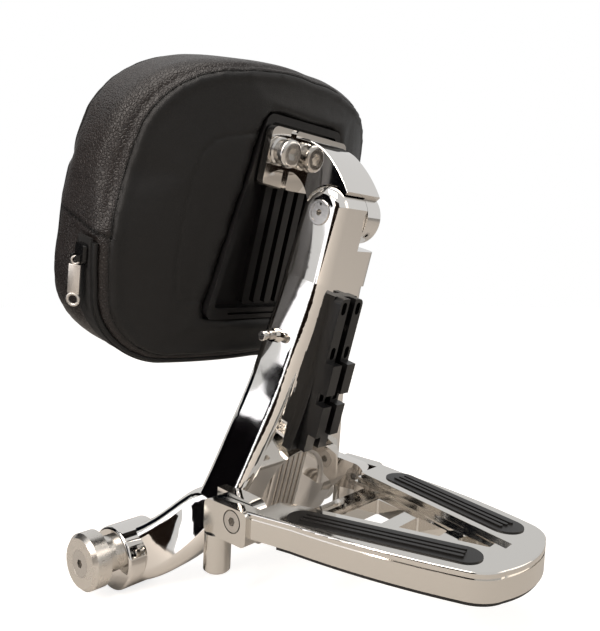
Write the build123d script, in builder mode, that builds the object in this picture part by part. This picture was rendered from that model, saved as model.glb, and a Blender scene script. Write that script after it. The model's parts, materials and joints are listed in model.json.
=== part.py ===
from build123d import *
import math
import os

# Motorcycle driver backrest with a fold-down luggage rack, in millimetres.
# The origin is the middle of the docking axis. X is the motorcycle's left, Y its rear, Z up.

os.makedirs("parts", exist_ok=True)

# Stance: the mast leans back from the lock axis, the rack droops a little to the rear
mast_lean = 17.35
lock_axis_y = 117.0
lock_axis_z = 222.0
rack_hinge_y = 88.5
rack_hinge_z = 34.7
rack_droop = 3.6

# Clearances
running_gap = 0.3
pin_gap = 0.05
screw_gap = 0.1

# Crown and head block section, seen along the mast
block_half = 24.6
block_front = -20.8
block_rear = 15.6
crown_rear = 14.3
casting_corner = 8.0
seam_drop = 43.0

# Wishbone: outline of the crown seen from behind, then the stations of one leg
crown_front = -21.0
crown_shoulder = (29.5, -80.0)
crown_waist = (36.0, -120.0)
crown_flare = (44.5, -150.0)
crown_foot = (59.0, -196.0)
crown_tangents = [(0.06, -1), (0.42, -1)]
leg_width = 28.0
leg_stations = [
    ((60.0, 33.0, 14.0), (0.55, -0.68, -0.48), 25.0, 37.0),
    ((75.0, 14.0, 0.0), (0.62, -0.75, -0.20), 24.0, 37.0),
    ((86.0, 0.0, -4.0), (0.75, -0.65, -0.05), 22.0, 34.0),
]
arch_radius = 30.0
arch_drop = 195.0
arch_depth = 90.0
arch_edge = 3.0
boss_radius = 21.0
boss_drop = 4.0
boss_inner = 71.0
boss_face = 99.0
boss_edge = 2.0
lug_reach = 26.0
lug_rise = 2.0

# Docking spools and their screws
neck_radius = 12.0
neck_length = 11.0
disc_radius = 18.5
disc_length = 12.0
disc_bevel = 2.5
dock_screw_radius = 4.0
dock_head_radius = 8.7
dock_head_angle = 90.0
dock_screw_length = 48.0
hex_socket_radius = 2.9
socket_depth = 3.5

# Fluted mast post, sliding in the crown
post_half = 16.0
post_front = -13.0
post_rear = 8.0
post_corner = 2.5
post_bottom_drop = 236.0
flute_width = 2.6
flute_depth = 1.5
flute_pitch = 5.2
flutes_wide = 5
flutes_deep = 3
keyway_width = 7.0
keyway_depth = 3.0

# Head block, lock and gooseneck hinge
block_corner = 7.2
knuckle_radius = 17.0
split_x = -3.0
arm_half = 17.5
ledge_drop = 19.5
hinge_pin_radius = 6.0
hinge_pin_seat = 8.0
hook_gap = 1.0
arm_rim = 1.2
arm_rim_shortest = 20.0
arm_nape = [(-26.0, 41.0), (-15.1, 38.0), (2.1, 26.9), (12.6, 16.3)]
arm_throat = [(-16.9, 1.5), (-22.8, 11.5)]
arm_root_top = 41.8
arm_root_bottom = 19.4
barrel_radius = 8.0
barrel_proud = 0.8
barrel_length = 14.0
plug_radius = 6.0
plug_proud = 0.5
plug_length = 10.0
key_hole_radius = 2.0
key_notch = 1.6
arm_set_screw_radius = 2.5
arm_set_screw_x = -10.0
arm_set_screw_angle = -32.0
arm_set_screw_socket = 1.5

# Foot of the gooseneck arm and its clamp bolts
foot_front = -46.0
foot_rear = -40.5
foot_root = -38.0
foot_root_web = 2.0
foot_half = 38.0
foot_top = 45.0
foot_bottom = 6.5
foot_corner = 5.0
clamp_x = 29.0
clamp_up = 30.0
clamp_flange_radius = 9.0
clamp_flange = 3.0
clamp_neck_radius = 6.5
clamp_head_radius = 9.0
clamp_head = 5.5
clamp_end = -28.0
clamp_shank_radius = 3.0
clamp_socket_radius = 4.2
clamp_edge = 1.0
clamp_dome = 2.4
slide_half = 30.0
slide_depth = 2.3

# Pad: half of its outline seen from behind, as arcs, across and up from the lock axis
pad_corners = [(0.0, 84.0), (69.0, 76.0), (118.0, 30.0), (120.5, -76.0), (76.0, -119.0)]
pad_bulges = [(35.0, 83.0), (101.0, 58.0), (124.4, -20.0), (107.0, -106.0)]
pad_bottom = -116.0
pad_back = -45.0
pad_bow_radius = 280.0
pad_thickness = 57.0
pad_back_round = 7.0
pad_front_round = 14.0

# Moulded track in the pad's back
track_headroom = 7.0
track_top = foot_top + track_headroom
track_bottom = -86.0
track_top_half = 37.0
track_bottom_half = 57.0
track_corner = 6.0
track_floor = -53.0
track_plate = 4.0
rim_face = -47.4
rim_width = 5.0
lip_height = 8.0
lip_slot = 1.6
rib_face = -48.6
rib_pitch = 11.0
rib_width = 6.5
rib_top = 42.0
rib_bottom = -75.5
rib_count = 5

# Zipper along the pad's lower edge
zip_start = -44.0
zip_inset = 14.0
zip_width = 13.0
zip_thickness = 1.2
slider_up = -54.5
slider_length = 13.0
slider_width = 9.0
slider_height = 3.2
ear_gap = 3.6
ear_width = 1.2
ear_radius = 2.0
pull_pin_radius = 0.9
pull_drop = -2.5
pull_length = 31.0
pull_width = 8.0
pull_thickness = 1.6
pull_hole_radius = 1.6

# Rear track bracket
bracket_half = 11.7
bracket_face = 24.0
bracket_base = 18.0
bracket_top = -49.0
bracket_bottom = -156.0
bracket_groove = 6.0
bracket_flare_start = -100.0
bracket_flare_half = 19.5
block_face = 30.5
bracket_corner = 4.0
bracket_blocks = [(-92.0, -113.0), (-121.0, -143.0)]
notch_width = 4.5
notch_height = 5.5
notch_depth = 4.0
oval_length = 8.5
oval_width = 4.4
oval_ups = (-55.5, -86.0)
bracket_screw_ups = (-70.0, -149.5)
bracket_screw_radius = 1.5
bracket_head_radius = 2.7
bracket_head = 2.0

# Release pin
release_drop = 83.0
release_front = -8.0
release_radius = 3.0
release_neck_radius = 2.1
release_button_radius = 3.4
release_end = 43.0
release_button = 3.0
release_neck = 3.0
release_collar_radius = 4.6
release_collar_end = 33.5

# Luggage rack, in its own frame: x across, y to the rear, z up, from the hinge axis
rack_top = 8.4
rack_bottom = -7.6
rack_corners = [(64.5, 39.5), (43.0, 137.0), (27.0, 151.8), (0.0, 157.0)]
rack_bulges = [(56.0, 92.0), (37.2, 146.2), (13.8, 155.8)]
rack_arm_half = 72.4
rack_rim = 1.2
knuckle_face = 73.0
knuckle_inner = 62.0
knuckle_front = -25.0
knuckle_rear = 12.0
knuckle_bottom = -13.6
knuckle_corner = 4.0
lug_face = 61.2
lug_inner = 51.0
lug_radius = 10.0
rack_front = 13.0
recess_front_half = 42.5
recess_rear_half = 5.6
recess_rear = 141.0
step_width = 4.0
step_height = 2.1
step_count = 3
step_setback = 9.0
scoop_half = 34.0
scoop_front_top = -4.6
scoop_sag = 1.5
window_front = 42.5
window_front_half = 20.5
window_rear = 131.5
window_rear_half = 2.2
window_corner = 1.5
window_bars = [(66.5, 77.0), (100.5, 110.5)]
sliver_y = 20.0
sliver_length = 18.0
sliver_width = 4.5
side_groove_top = 5.4
side_groove_height = 1.1
side_groove_depth = 0.8
inlay_front = (52.5, 40.0)
inlay_rear = (27.0, 128.0)
inlay_width = 21.0
inlay_sink = 3.0
inlay_proud = 0.7
ridge_height = 1.0
ridge_width = 2.4
ridge_pitch = 4.6
ridge_count = 3
underpad_thickness = 2.2
underpad_inset = 1.2
underpad_width = 12.0
underpad_front = 30.0
stop_radius = 8.6
stop_x = 66.2
stop_y = -18.8
stop_length = 25.0

# Rack hinge: a flanged sleeve nut in the lug and a cap screw from outside
sleeve_radius = 5.0
cap_head_radius = 6.5
cap_head = 6.0
cap_ring_radius = 7.3
cap_screw_radius = 3.0
sleeve_end = 66.5
cap_screw_end = 56.0
sleeve_flange = 3.0

lean = math.radians(mast_lean)
droop = math.radians(rack_droop)
X_AXIS = Vector(1, 0, 0)
MAST_UP = Vector(0, math.sin(lean), math.cos(lean))
MAST_REAR = Vector(0, math.cos(lean), -math.sin(lean))
RACK_UP = Vector(0, math.sin(droop), math.cos(droop))
RACK_REAR = Vector(0, math.cos(droop), -math.sin(droop))
LOCK_AXIS = Vector(0, lock_axis_y, lock_axis_z)
RACK_HINGE = Vector(0, rack_hinge_y, rack_hinge_z)
SIDES = {"left": 1, "right": -1}
mast_rearward = Axis(LOCK_AXIS, MAST_REAR)


def mast_level(up):
    """Plane across the mast at a height above the lock axis: local x is X, local y is rearward."""
    return Plane(origin=LOCK_AXIS + MAST_UP * up, x_dir=X_AXIS, z_dir=MAST_UP)


def mast_side(x):
    """Plane along the mast at X = x: local x is rearward, local y is up the mast."""
    return Plane(origin=LOCK_AXIS + X_AXIS * x, x_dir=MAST_REAR, z_dir=X_AXIS)


def mast_front(rearward):
    """Plane facing forward: local x is X, local y is up the mast, and it extrudes forward."""
    return Plane(origin=LOCK_AXIS + MAST_REAR * rearward, x_dir=X_AXIS, z_dir=-MAST_REAR)


def rack_level(up):
    """Plane parallel to the rack's deck: local x is X, local y is rearward."""
    return Plane(origin=RACK_HINGE + RACK_UP * up, x_dir=X_AXIS, z_dir=RACK_UP)


def rack_side(x):
    """Plane along the rack at X = x: local x is rearward, local y is up."""
    return Plane(origin=RACK_HINGE + X_AXIS * x, x_dir=RACK_REAR, z_dir=X_AXIS)


def across(x, y=0.0, z=0.0, toward=1):
    """Plane facing along X at a point, turned inward or outward by the sign of toward."""
    return Plane(origin=(x, y, z), x_dir=(0, toward, 0), z_dir=(toward, 0, 0))


def set_screw_seat(out=0.0):
    """Plane in the arm's knuckle, facing out along the set screw from its tip at the hinge pin."""
    angle = math.radians(arm_set_screw_angle)
    outward = MAST_REAR * math.cos(angle) + MAST_UP * math.sin(angle)
    tip = X_AXIS * arm_set_screw_x + outward * (hinge_pin_radius + running_gap + out)
    return Plane(origin=LOCK_AXIS + tip, x_dir=X_AXIS, z_dir=outward)


def save(piece, name):
    """Label one finished piece and write its file."""
    piece.part.label = name
    export_step(piece.part, f"parts/{name}.step")


# Wishbone frame: extruded and rounded crown, bored for the post, on two lofted legs
with BuildPart() as crown:
    with BuildSketch(mast_front(crown_rear)):
        with BuildLine():
            Polyline((0, crown_foot[1]), (0, -seam_drop), (block_half, -seam_drop))
            Spline(
                (block_half, -seam_drop),
                crown_shoulder,
                crown_waist,
                crown_flare,
                crown_foot,
                tangents=crown_tangents,
            )
            Line(crown_foot, (0, crown_foot[1]))
        make_face()
        mirror(about=Plane.YZ)
    extrude(amount=crown_rear - crown_front)
    fillet(edges().filter_by(GeomType.BSPLINE), casting_corner)
    with BuildSketch(mast_front(crown_rear)):
        with Locations((0, -arch_drop)):
            Circle(arch_radius)
            Rectangle(2 * arch_radius, arch_depth, align=(Align.CENTER, Align.MAX))
    extrude(amount=crown_rear - crown_front, mode=Mode.SUBTRACT)
    arch_edges = edges().filter_by(GeomType.CIRCLE).filter_by(lambda e: e.radius > arch_radius - 1)
    fillet(arch_edges, arch_edge)
    with BuildSketch(mast_level(-seam_drop)):
        with Locations((0, (post_front + post_rear) / 2)):
            Rectangle(2 * (post_half + running_gap), post_rear - post_front + 2 * running_gap)
    extrude(amount=-arch_drop, mode=Mode.SUBTRACT)
    with BuildSketch(mast_front(crown_rear)):
        with Locations(*[(0, up) for up in bracket_screw_ups]):
            Circle(bracket_screw_radius + screw_gap)
    extrude(amount=crown_rear - post_rear, mode=Mode.SUBTRACT)
    with BuildSketch(mast_side(block_half)):
        with Locations((release_front, -release_drop)):
            Circle(release_collar_radius)
    extrude(amount=release_collar_end - block_half)
    with BuildSketch(mast_side(0)):
        with Locations((release_front, -release_drop)):
            Circle(release_radius + pin_gap)
    extrude(amount=release_end, mode=Mode.SUBTRACT)

with BuildPart() as leg:
    with BuildSketch(mast_level(crown_foot[1])):
        with Locations((crown_foot[0] - leg_width / 2, (crown_rear + crown_front) / 2)):
            RectangleRounded(leg_width, crown_rear - crown_front, casting_corner)
    for centre, tangent, width, depth in leg_stations:
        leg_up = Vector(*tangent).normalized() * -1
        lateral = (X_AXIS - leg_up * leg_up.X).normalized()
        with BuildSketch(Plane(origin=centre, x_dir=lateral, z_dir=leg_up)):
            RectangleRounded(width, depth, casting_corner)
    loft()
    with BuildSketch(across(boss_inner, 0, -boss_drop)):
        Circle(boss_radius)
    extrude(amount=boss_face - boss_inner)
    fillet(faces().sort_by(Axis.X)[-1].edges(), boss_edge)
    with BuildSketch(rack_side(lug_inner)):
        Circle(lug_radius)
        with BuildLine():
            Polyline(
                (0, lug_radius),
                (-lug_reach, lug_radius + lug_rise),
                (-lug_reach, -lug_radius - lug_rise),
                (0, -lug_radius),
                close=True,
            )
        make_face()
    extrude(amount=lug_face - lug_inner)
    with BuildSketch(across(boss_face, toward=-1)):
        Circle(dock_screw_radius + screw_gap)
    extrude(amount=dock_screw_length, mode=Mode.SUBTRACT)
    with BuildSketch(rack_side(lug_inner)):
        Circle(sleeve_radius + pin_gap)
    extrude(amount=lug_face - lug_inner, mode=Mode.SUBTRACT)
    with BuildSketch(rack_side(lug_inner)):
        Circle(cap_head_radius + screw_gap)
    extrude(amount=sleeve_flange, mode=Mode.SUBTRACT)

with BuildPart() as wishbone_frame:
    add(crown.part)
    add(leg.part)
    add(mirror(leg.part, about=Plane.YZ, mode=Mode.PRIVATE))
save(wishbone_frame, "wishbone_frame")


# Docking spools: a grooved disc on each foot, held by a countersunk screw
spool_end = boss_face + neck_length + disc_length
for hand, side in SIDES.items():
    with BuildPart() as docking_spool:
        with BuildSketch(Plane.XY):
            with BuildLine():
                Polyline(
                    (side * boss_face, 0),
                    (side * boss_face, neck_radius),
                    (side * (spool_end - disc_length), neck_radius),
                    (side * (spool_end - disc_length), disc_radius),
                    (side * (spool_end - disc_bevel), disc_radius),
                    (side * spool_end, disc_radius - disc_bevel),
                    (side * spool_end, 0),
                    close=True,
                )
            make_face()
        revolve(axis=Axis.X)
        with Locations(across(side * spool_end, toward=side).location):
            CounterSinkHole(
                radius=dock_screw_radius + screw_gap,
                counter_sink_radius=dock_head_radius + screw_gap,
                counter_sink_angle=dock_head_angle,
            )
    save(docking_spool, f"docking_spool_{hand}")

with BuildPart() as docking_screws:
    head_taper = (dock_head_radius - dock_screw_radius) / math.tan(math.radians(dock_head_angle / 2))
    for side in SIDES.values():
        with BuildSketch(Plane.XY):
            with BuildLine():
                Polyline(
                    (side * spool_end, 0),
                    (side * spool_end, dock_head_radius),
                    (side * (spool_end - head_taper), dock_screw_radius),
                    (side * (spool_end - dock_screw_length), dock_screw_radius),
                    (side * (spool_end - dock_screw_length), 0),
                    close=True,
                )
            make_face()
        revolve(axis=Axis.X)
        with BuildSketch(across(side * spool_end, toward=-side)):
            RegularPolygon(hex_socket_radius, 6)
        extrude(amount=socket_depth, mode=Mode.SUBTRACT)
save(docking_screws, "docking_screws")


# Mast post: fluted bar down through the crown, with a keyway for the release pin on its left
with BuildPart() as mast_post:
    post_middle = (post_front + post_rear) / 2
    with BuildSketch(mast_level(-post_bottom_drop)):
        with Locations((0, post_middle)):
            RectangleRounded(2 * post_half, post_rear - post_front, post_corner)
        with Locations((0, post_rear), (0, post_front)):
            with GridLocations(flute_pitch, 0, flutes_wide, 1):
                Rectangle(flute_width, 2 * flute_depth, mode=Mode.SUBTRACT)
        with Locations((-post_half, post_middle)):
            with GridLocations(0, flute_pitch, 1, flutes_deep):
                Rectangle(2 * flute_depth, flute_width, mode=Mode.SUBTRACT)
        with Locations((post_half, release_front)):
            Rectangle(2 * keyway_depth, keyway_width, mode=Mode.SUBTRACT)
    extrude(amount=post_bottom_drop - seam_drop)
save(mast_post, "mast_post")


# Head block: tapered front, knuckle rounded about the lock axis, cut down to a ledge on its right
block_shoulder = math.sqrt(knuckle_radius**2 - block_rear**2)
with BuildPart() as head_block:
    with BuildSketch(mast_side(-block_half)):
        with BuildLine():
            Polyline(
                (-knuckle_radius, 0),
                (block_front, -seam_drop),
                (block_rear, -seam_drop),
                (block_rear, block_shoulder),
            )
            ThreePointArc((block_rear, block_shoulder), (0, knuckle_radius), (-knuckle_radius, 0))
        make_face()
    extrude(amount=2 * block_half)
    upright = edges().filter_by(lambda e: abs(e.center().X) > block_half - 1 and e.length > seam_drop - 1)
    fillet(upright.filter_by(GeomType.LINE), block_corner)
    with BuildSketch(mast_side(split_x)):
        with Locations((0, -ledge_drop)):
            Rectangle(4 * knuckle_radius, 3 * knuckle_radius, align=(Align.CENTER, Align.MIN))
    extrude(amount=-block_half, mode=Mode.SUBTRACT)
    with BuildSketch(mast_side(split_x)):
        Circle(hinge_pin_radius + pin_gap)
    extrude(amount=hinge_pin_seat, mode=Mode.SUBTRACT)
    with BuildSketch(mast_side(block_half)):
        Circle(barrel_radius + pin_gap)
    extrude(amount=-barrel_length, mode=Mode.SUBTRACT)
save(head_block, "head_block")


# Lock: a barrel ring in the block's left face and the plug that the key turns
with BuildPart() as lock_barrel:
    with BuildSketch(mast_side(block_half - barrel_length)):
        Circle(barrel_radius)
    extrude(amount=barrel_length + barrel_proud)
    with BuildSketch(mast_side(block_half + barrel_proud)):
        Circle(plug_radius + pin_gap)
    extrude(amount=-plug_length, mode=Mode.SUBTRACT)
    chamfer(faces().sort_by(Axis.X)[-1].edges().sort_by(SortBy.RADIUS)[-1], barrel_proud / 2)
save(lock_barrel, "lock_barrel")

with BuildPart() as lock_plug:
    with BuildSketch(mast_side(block_half + barrel_proud - plug_length)):
        Circle(plug_radius)
    extrude(amount=plug_length + plug_proud - barrel_proud)
    with BuildSketch(mast_side(block_half + plug_proud)):
        Circle(key_hole_radius)
        with Locations((0, plug_radius)):
            Rectangle(key_notch, 2 * key_notch)
    extrude(amount=-socket_depth, mode=Mode.SUBTRACT)
save(lock_plug, "lock_plug")


# Gooseneck arm: a hooked arm from the foot plate over the block to the knuckle on its right
arm_set_screw_length = knuckle_radius - hinge_pin_radius - running_gap
with BuildPart() as gooseneck_arm:
    with BuildSketch(mast_side(-arm_half)):
        Circle(knuckle_radius)
        with BuildLine():
            ThreePointArc((foot_root, arm_root_top), arm_nape[0], arm_nape[1])
            ThreePointArc(arm_nape[1], arm_nape[2], arm_nape[3])
            Polyline(arm_nape[3], (0, 0), arm_throat[0])
            ThreePointArc(arm_throat[0], arm_throat[1], (foot_root, arm_root_bottom))
            Line((foot_root, arm_root_bottom), (foot_root, arm_root_top))
        make_face()
    extrude(amount=2 * arm_half)
    with BuildSketch(mast_side(split_x - running_gap)):
        Circle(knuckle_radius + hook_gap)
    extrude(amount=arm_half - split_x + hook_gap, mode=Mode.SUBTRACT)
    outer_rims = edges().filter_by(lambda e: abs(abs(e.center().X) - arm_half) < pin_gap)
    outer_rims = outer_rims.filter_by(lambda e: e.length > arm_rim_shortest)
    fillet(outer_rims.filter_by(GeomType.CIRCLE).sort_by(SortBy.RADIUS)[-4:], arm_rim)
    with BuildSketch(mast_front(foot_rear)):
        with Locations((0, (foot_top + foot_bottom) / 2)):
            RectangleRounded(2 * foot_half, foot_top - foot_bottom, foot_corner)
    extrude(amount=foot_rear - foot_front)
    with BuildSketch(mast_front(foot_root)):
        with Locations((0, (foot_top + foot_bottom) / 2)):
            RectangleRounded(2 * arm_half + foot_root_web, foot_top - foot_bottom, foot_corner / 2)
    extrude(amount=foot_root - foot_rear)
    with BuildSketch(mast_side(-arm_half)):
        Circle(hinge_pin_radius + pin_gap)
    extrude(amount=arm_half + split_x, mode=Mode.SUBTRACT)
    with BuildSketch(mast_front(foot_rear)):
        with Locations((clamp_x, clamp_up), (-clamp_x, clamp_up)):
            Circle(clamp_shank_radius + screw_gap)
    extrude(amount=foot_rear - foot_front, mode=Mode.SUBTRACT)
    with BuildSketch(set_screw_seat()):
        Circle(arm_set_screw_radius + screw_gap)
    extrude(amount=2 * arm_set_screw_length, mode=Mode.SUBTRACT)
save(gooseneck_arm, "gooseneck_arm")

with BuildPart() as hinge_pin:
    with BuildSketch(mast_side(-arm_half)):
        Circle(hinge_pin_radius)
    extrude(amount=arm_half + split_x + hinge_pin_seat)
save(hinge_pin, "hinge_pin")

with BuildPart() as arm_set_screw:
    with BuildSketch(set_screw_seat()):
        Circle(arm_set_screw_radius)
    extrude(amount=arm_set_screw_length)
    with BuildSketch(set_screw_seat(arm_set_screw_length)):
        RegularPolygon(arm_set_screw_socket, 6)
    extrude(amount=-socket_depth, mode=Mode.SUBTRACT)
save(arm_set_screw, "arm_set_screw")

# Slide plate under the foot, running on the pad's ribs, and the two clamp bolts through both
with BuildPart() as slide_plate:
    with BuildSketch(mast_front(foot_front)):
        with Locations((0, (foot_top + foot_bottom) / 2)):
            RectangleRounded(2 * slide_half, foot_top - foot_bottom, foot_corner)
        with Locations((clamp_x, clamp_up), (-clamp_x, clamp_up)):
            Circle(clamp_shank_radius + screw_gap, mode=Mode.SUBTRACT)
    extrude(amount=slide_depth)
save(slide_plate, "slide_plate")

flange_face = foot_rear + clamp_flange
clamp_steps = [
    (foot_front - slide_depth, foot_rear, clamp_shank_radius),
    (foot_rear, flange_face, clamp_flange_radius),
    (flange_face, clamp_end - clamp_head, clamp_neck_radius),
    (clamp_end - clamp_head, clamp_end, clamp_head_radius),
]
for hand, side in SIDES.items():
    with BuildPart() as clamp_bolt:
        for start, end, radius in clamp_steps:
            with BuildSketch(mast_front(end)):
                with Locations((side * clamp_x, clamp_up)):
                    Circle(radius)
            extrude(amount=end - start)
        rims = edges().filter_by(GeomType.CIRCLE).filter_by(lambda e: e.radius > clamp_neck_radius + 1)
        rims = rims.sort_by(mast_rearward)
        chamfer(rims[:-1], clamp_edge)
        fillet(rims[-1], clamp_dome)
        with BuildSketch(mast_front(clamp_end)):
            with Locations((side * clamp_x, clamp_up)):
                RegularPolygon(clamp_socket_radius, 6)
        extrude(amount=socket_depth, mode=Mode.SUBTRACT)
    save(clamp_bolt, f"clamp_bolt_{hand}")


# Pad: a bowed slab cut to the outline, rounded, with a pocket for the track
with BuildSketch(Plane.XY) as pad_plan:
    with BuildLine():
        for start, bulge, end in zip(pad_corners, pad_bulges, pad_corners[1:]):
            ThreePointArc(start, bulge, end)
        Polyline(pad_corners[-1], (0, pad_bottom), pad_corners[0])
    make_face()
    mirror(about=Plane.YZ)

pad_half = pad_bulges[2][0]
pad_reach = 2 * pad_thickness + pad_half
bow_centre = pad_back - pad_bow_radius
track_points = [
    (track_top_half, track_top),
    (track_bottom_half, track_bottom),
    (-track_bottom_half, track_bottom),
    (-track_top_half, track_top),
]


def bowed_band(outer_inset, inner_inset):
    """Plan of a band between two depths below the pad's bowed back, seen along the mast."""
    with BuildSketch(Plane.XY) as band:
        with Locations((0, bow_centre)):
            Circle(pad_bow_radius - outer_inset)
            Circle(pad_bow_radius - inner_inset, mode=Mode.SUBTRACT)
        with Locations((0, pad_back)):
            Rectangle(2 * pad_reach, 2 * pad_reach, mode=Mode.INTERSECT)
    return band.sketch


pad_slab = bowed_band(0, pad_thickness)
zip_band = bowed_band(zip_inset - zip_width / 2, zip_inset + zip_width / 2)
pad_span = pad_corners[0][1] - pad_bottom
with BuildPart() as pad_cushion:
    with BuildSketch(mast_level(2 * pad_bottom)):
        add(pad_slab)
    extrude(amount=3 * pad_span)
    with BuildSketch(mast_front(pad_back + 1)):
        add(pad_plan.sketch)
    extrude(amount=pad_reach, mode=Mode.INTERSECT)
    fillet(faces().sort_by(SortBy.AREA)[-2:].sort_by(mast_rearward)[-1].edges(), pad_back_round)
    fillet(faces().sort_by(SortBy.AREA)[-2:].sort_by(mast_rearward)[0].edges(), pad_front_round)
    with BuildSketch(mast_front(pad_back + 1)):
        Polygon(*track_points, align=None)
        fillet(vertices(), track_corner)
        offset(amount=running_gap)
    extrude(amount=pad_back + 1 - track_floor + track_plate + running_gap, mode=Mode.SUBTRACT)
save(pad_cushion, "pad_cushion")

with BuildPart() as pad_track:
    with BuildSketch(mast_front(rim_face)):
        Polygon(*track_points, align=None)
        fillet(vertices(), track_corner)
    extrude(amount=rim_face - track_floor + track_plate)
    with BuildSketch(mast_front(rim_face)):
        Polygon(*track_points, align=None)
        offset(amount=-rim_width, kind=Kind.INTERSECTION)
        with Locations((0, track_bottom)):
            Rectangle(3 * track_bottom_half, 2 * lip_height, mode=Mode.SUBTRACT)
        fillet(vertices(), track_corner / 2)
    extrude(amount=rim_face - track_floor, mode=Mode.SUBTRACT)
    with BuildSketch(mast_front(rib_face)):
        with Locations((0, (rib_top + rib_bottom) / 2)):
            with GridLocations(rib_pitch, 0, rib_count, 1):
                SlotOverall(rib_top - rib_bottom, rib_width, rotation=90)
    extrude(amount=rib_face - track_floor)
    with BuildSketch(mast_front(rim_face)):
        with Locations((0, track_bottom + lip_height / 2)):
            Rectangle(2 * track_top_half, lip_slot)
    extrude(amount=(rim_face - track_floor) / 2, mode=Mode.SUBTRACT)
save(pad_track, "pad_track")


# Zipper: a tape outside the boxing, round the lower edge, with its slider and pull on the left
with BuildPart() as zipper_tape:
    with BuildSketch(mast_level(2 * pad_bottom)):
        add(zip_band)
    extrude(amount=3 * pad_span)
    with BuildSketch(mast_front(pad_back + 1)):
        add(pad_plan.sketch)
        offset(amount=running_gap + zip_thickness)
        offset(pad_plan.sketch, amount=running_gap, mode=Mode.SUBTRACT)
        with Locations((0, zip_start)):
            Rectangle(2 * pad_reach, 2 * pad_reach, align=(Align.CENTER, Align.MAX), mode=Mode.INTERSECT)
    extrude(amount=pad_reach, mode=Mode.INTERSECT)
save(zipper_tape, "zipper_tape")

with BuildLine(Plane.XY) as pad_side:
    ThreePointArc(pad_corners[2], pad_bulges[2], pad_corners[3])
side_arc = pad_side.edges()[0]
zip_tilt = math.asin((side_arc.arc_center.Y - slider_up) / side_arc.radius)
zip_half = side_arc.arc_center.X + side_arc.radius * math.cos(zip_tilt)
zip_rearward = bow_centre + math.sqrt((pad_bow_radius - zip_inset) ** 2 - zip_half**2)
zip_out = X_AXIS * math.cos(zip_tilt) - MAST_UP * math.sin(zip_tilt)
zip_point = LOCK_AXIS + X_AXIS * zip_half + MAST_UP * slider_up + MAST_REAR * zip_rearward
zip_seat = zip_point + zip_out * (2 * running_gap + zip_thickness)
pull_axis = slider_height + ear_radius


def zip_level(out):
    """Plane facing out from the tape under the slider: local x is rearward, local y is up the tape."""
    return Plane(origin=zip_seat + zip_out * out, x_dir=MAST_REAR, z_dir=zip_out)


def zip_front(rearward):
    """Plane facing forward at the slider: local x is outward, local y is up the tape."""
    return Plane(origin=zip_seat + MAST_REAR * rearward, x_dir=zip_out, z_dir=-MAST_REAR)


with BuildPart() as zipper_slider:
    with BuildSketch(zip_level(0)):
        RectangleRounded(slider_width, slider_length, slider_width / 4)
    extrude(amount=slider_height)
    for ear in (-1, 1):
        with BuildSketch(zip_front((ear * (ear_gap + ear_width) + ear_width) / 2)):
            with Locations((pull_axis, pull_drop)):
                Circle(ear_radius)
            with Locations((pull_axis - ear_radius, pull_drop)):
                Rectangle(2 * ear_radius, 2 * ear_radius)
        extrude(amount=ear_width)
    with BuildSketch(zip_front(ear_gap / 2)):
        with Locations((pull_axis, pull_drop)):
            Circle(pull_pin_radius)
    extrude(amount=ear_gap)
save(zipper_slider, "zipper_slider")

eye_width = ear_gap - 2 * running_gap
with BuildPart() as zipper_pull:
    with BuildSketch(zip_level(pull_axis - pull_thickness / 2)):
        with Locations((0, pull_drop - ear_radius - running_gap)):
            Rectangle(pull_width, pull_length - ear_radius - running_gap, align=(Align.CENTER, Align.MAX))
        with Locations((0, pull_drop)):
            Rectangle(eye_width, 2 * ear_radius, align=(Align.CENTER, Align.MAX))
        fillet(vertices().sort_by(Axis.Y)[:2], pull_width / 3)
        with Locations((0, pull_drop - pull_length + pull_width / 2)):
            Circle(pull_hole_radius, mode=Mode.SUBTRACT)
    extrude(amount=pull_thickness)
    with BuildSketch(zip_front(eye_width / 2)):
        with Locations((pull_axis, pull_drop)):
            Circle(ear_radius)
    extrude(amount=eye_width)
    with BuildSketch(zip_front(ear_gap / 2)):
        with Locations((pull_axis, pull_drop)):
            Circle(pull_pin_radius + pin_gap)
    extrude(amount=ear_gap, mode=Mode.SUBTRACT)
save(zipper_pull, "zipper_pull")


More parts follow.
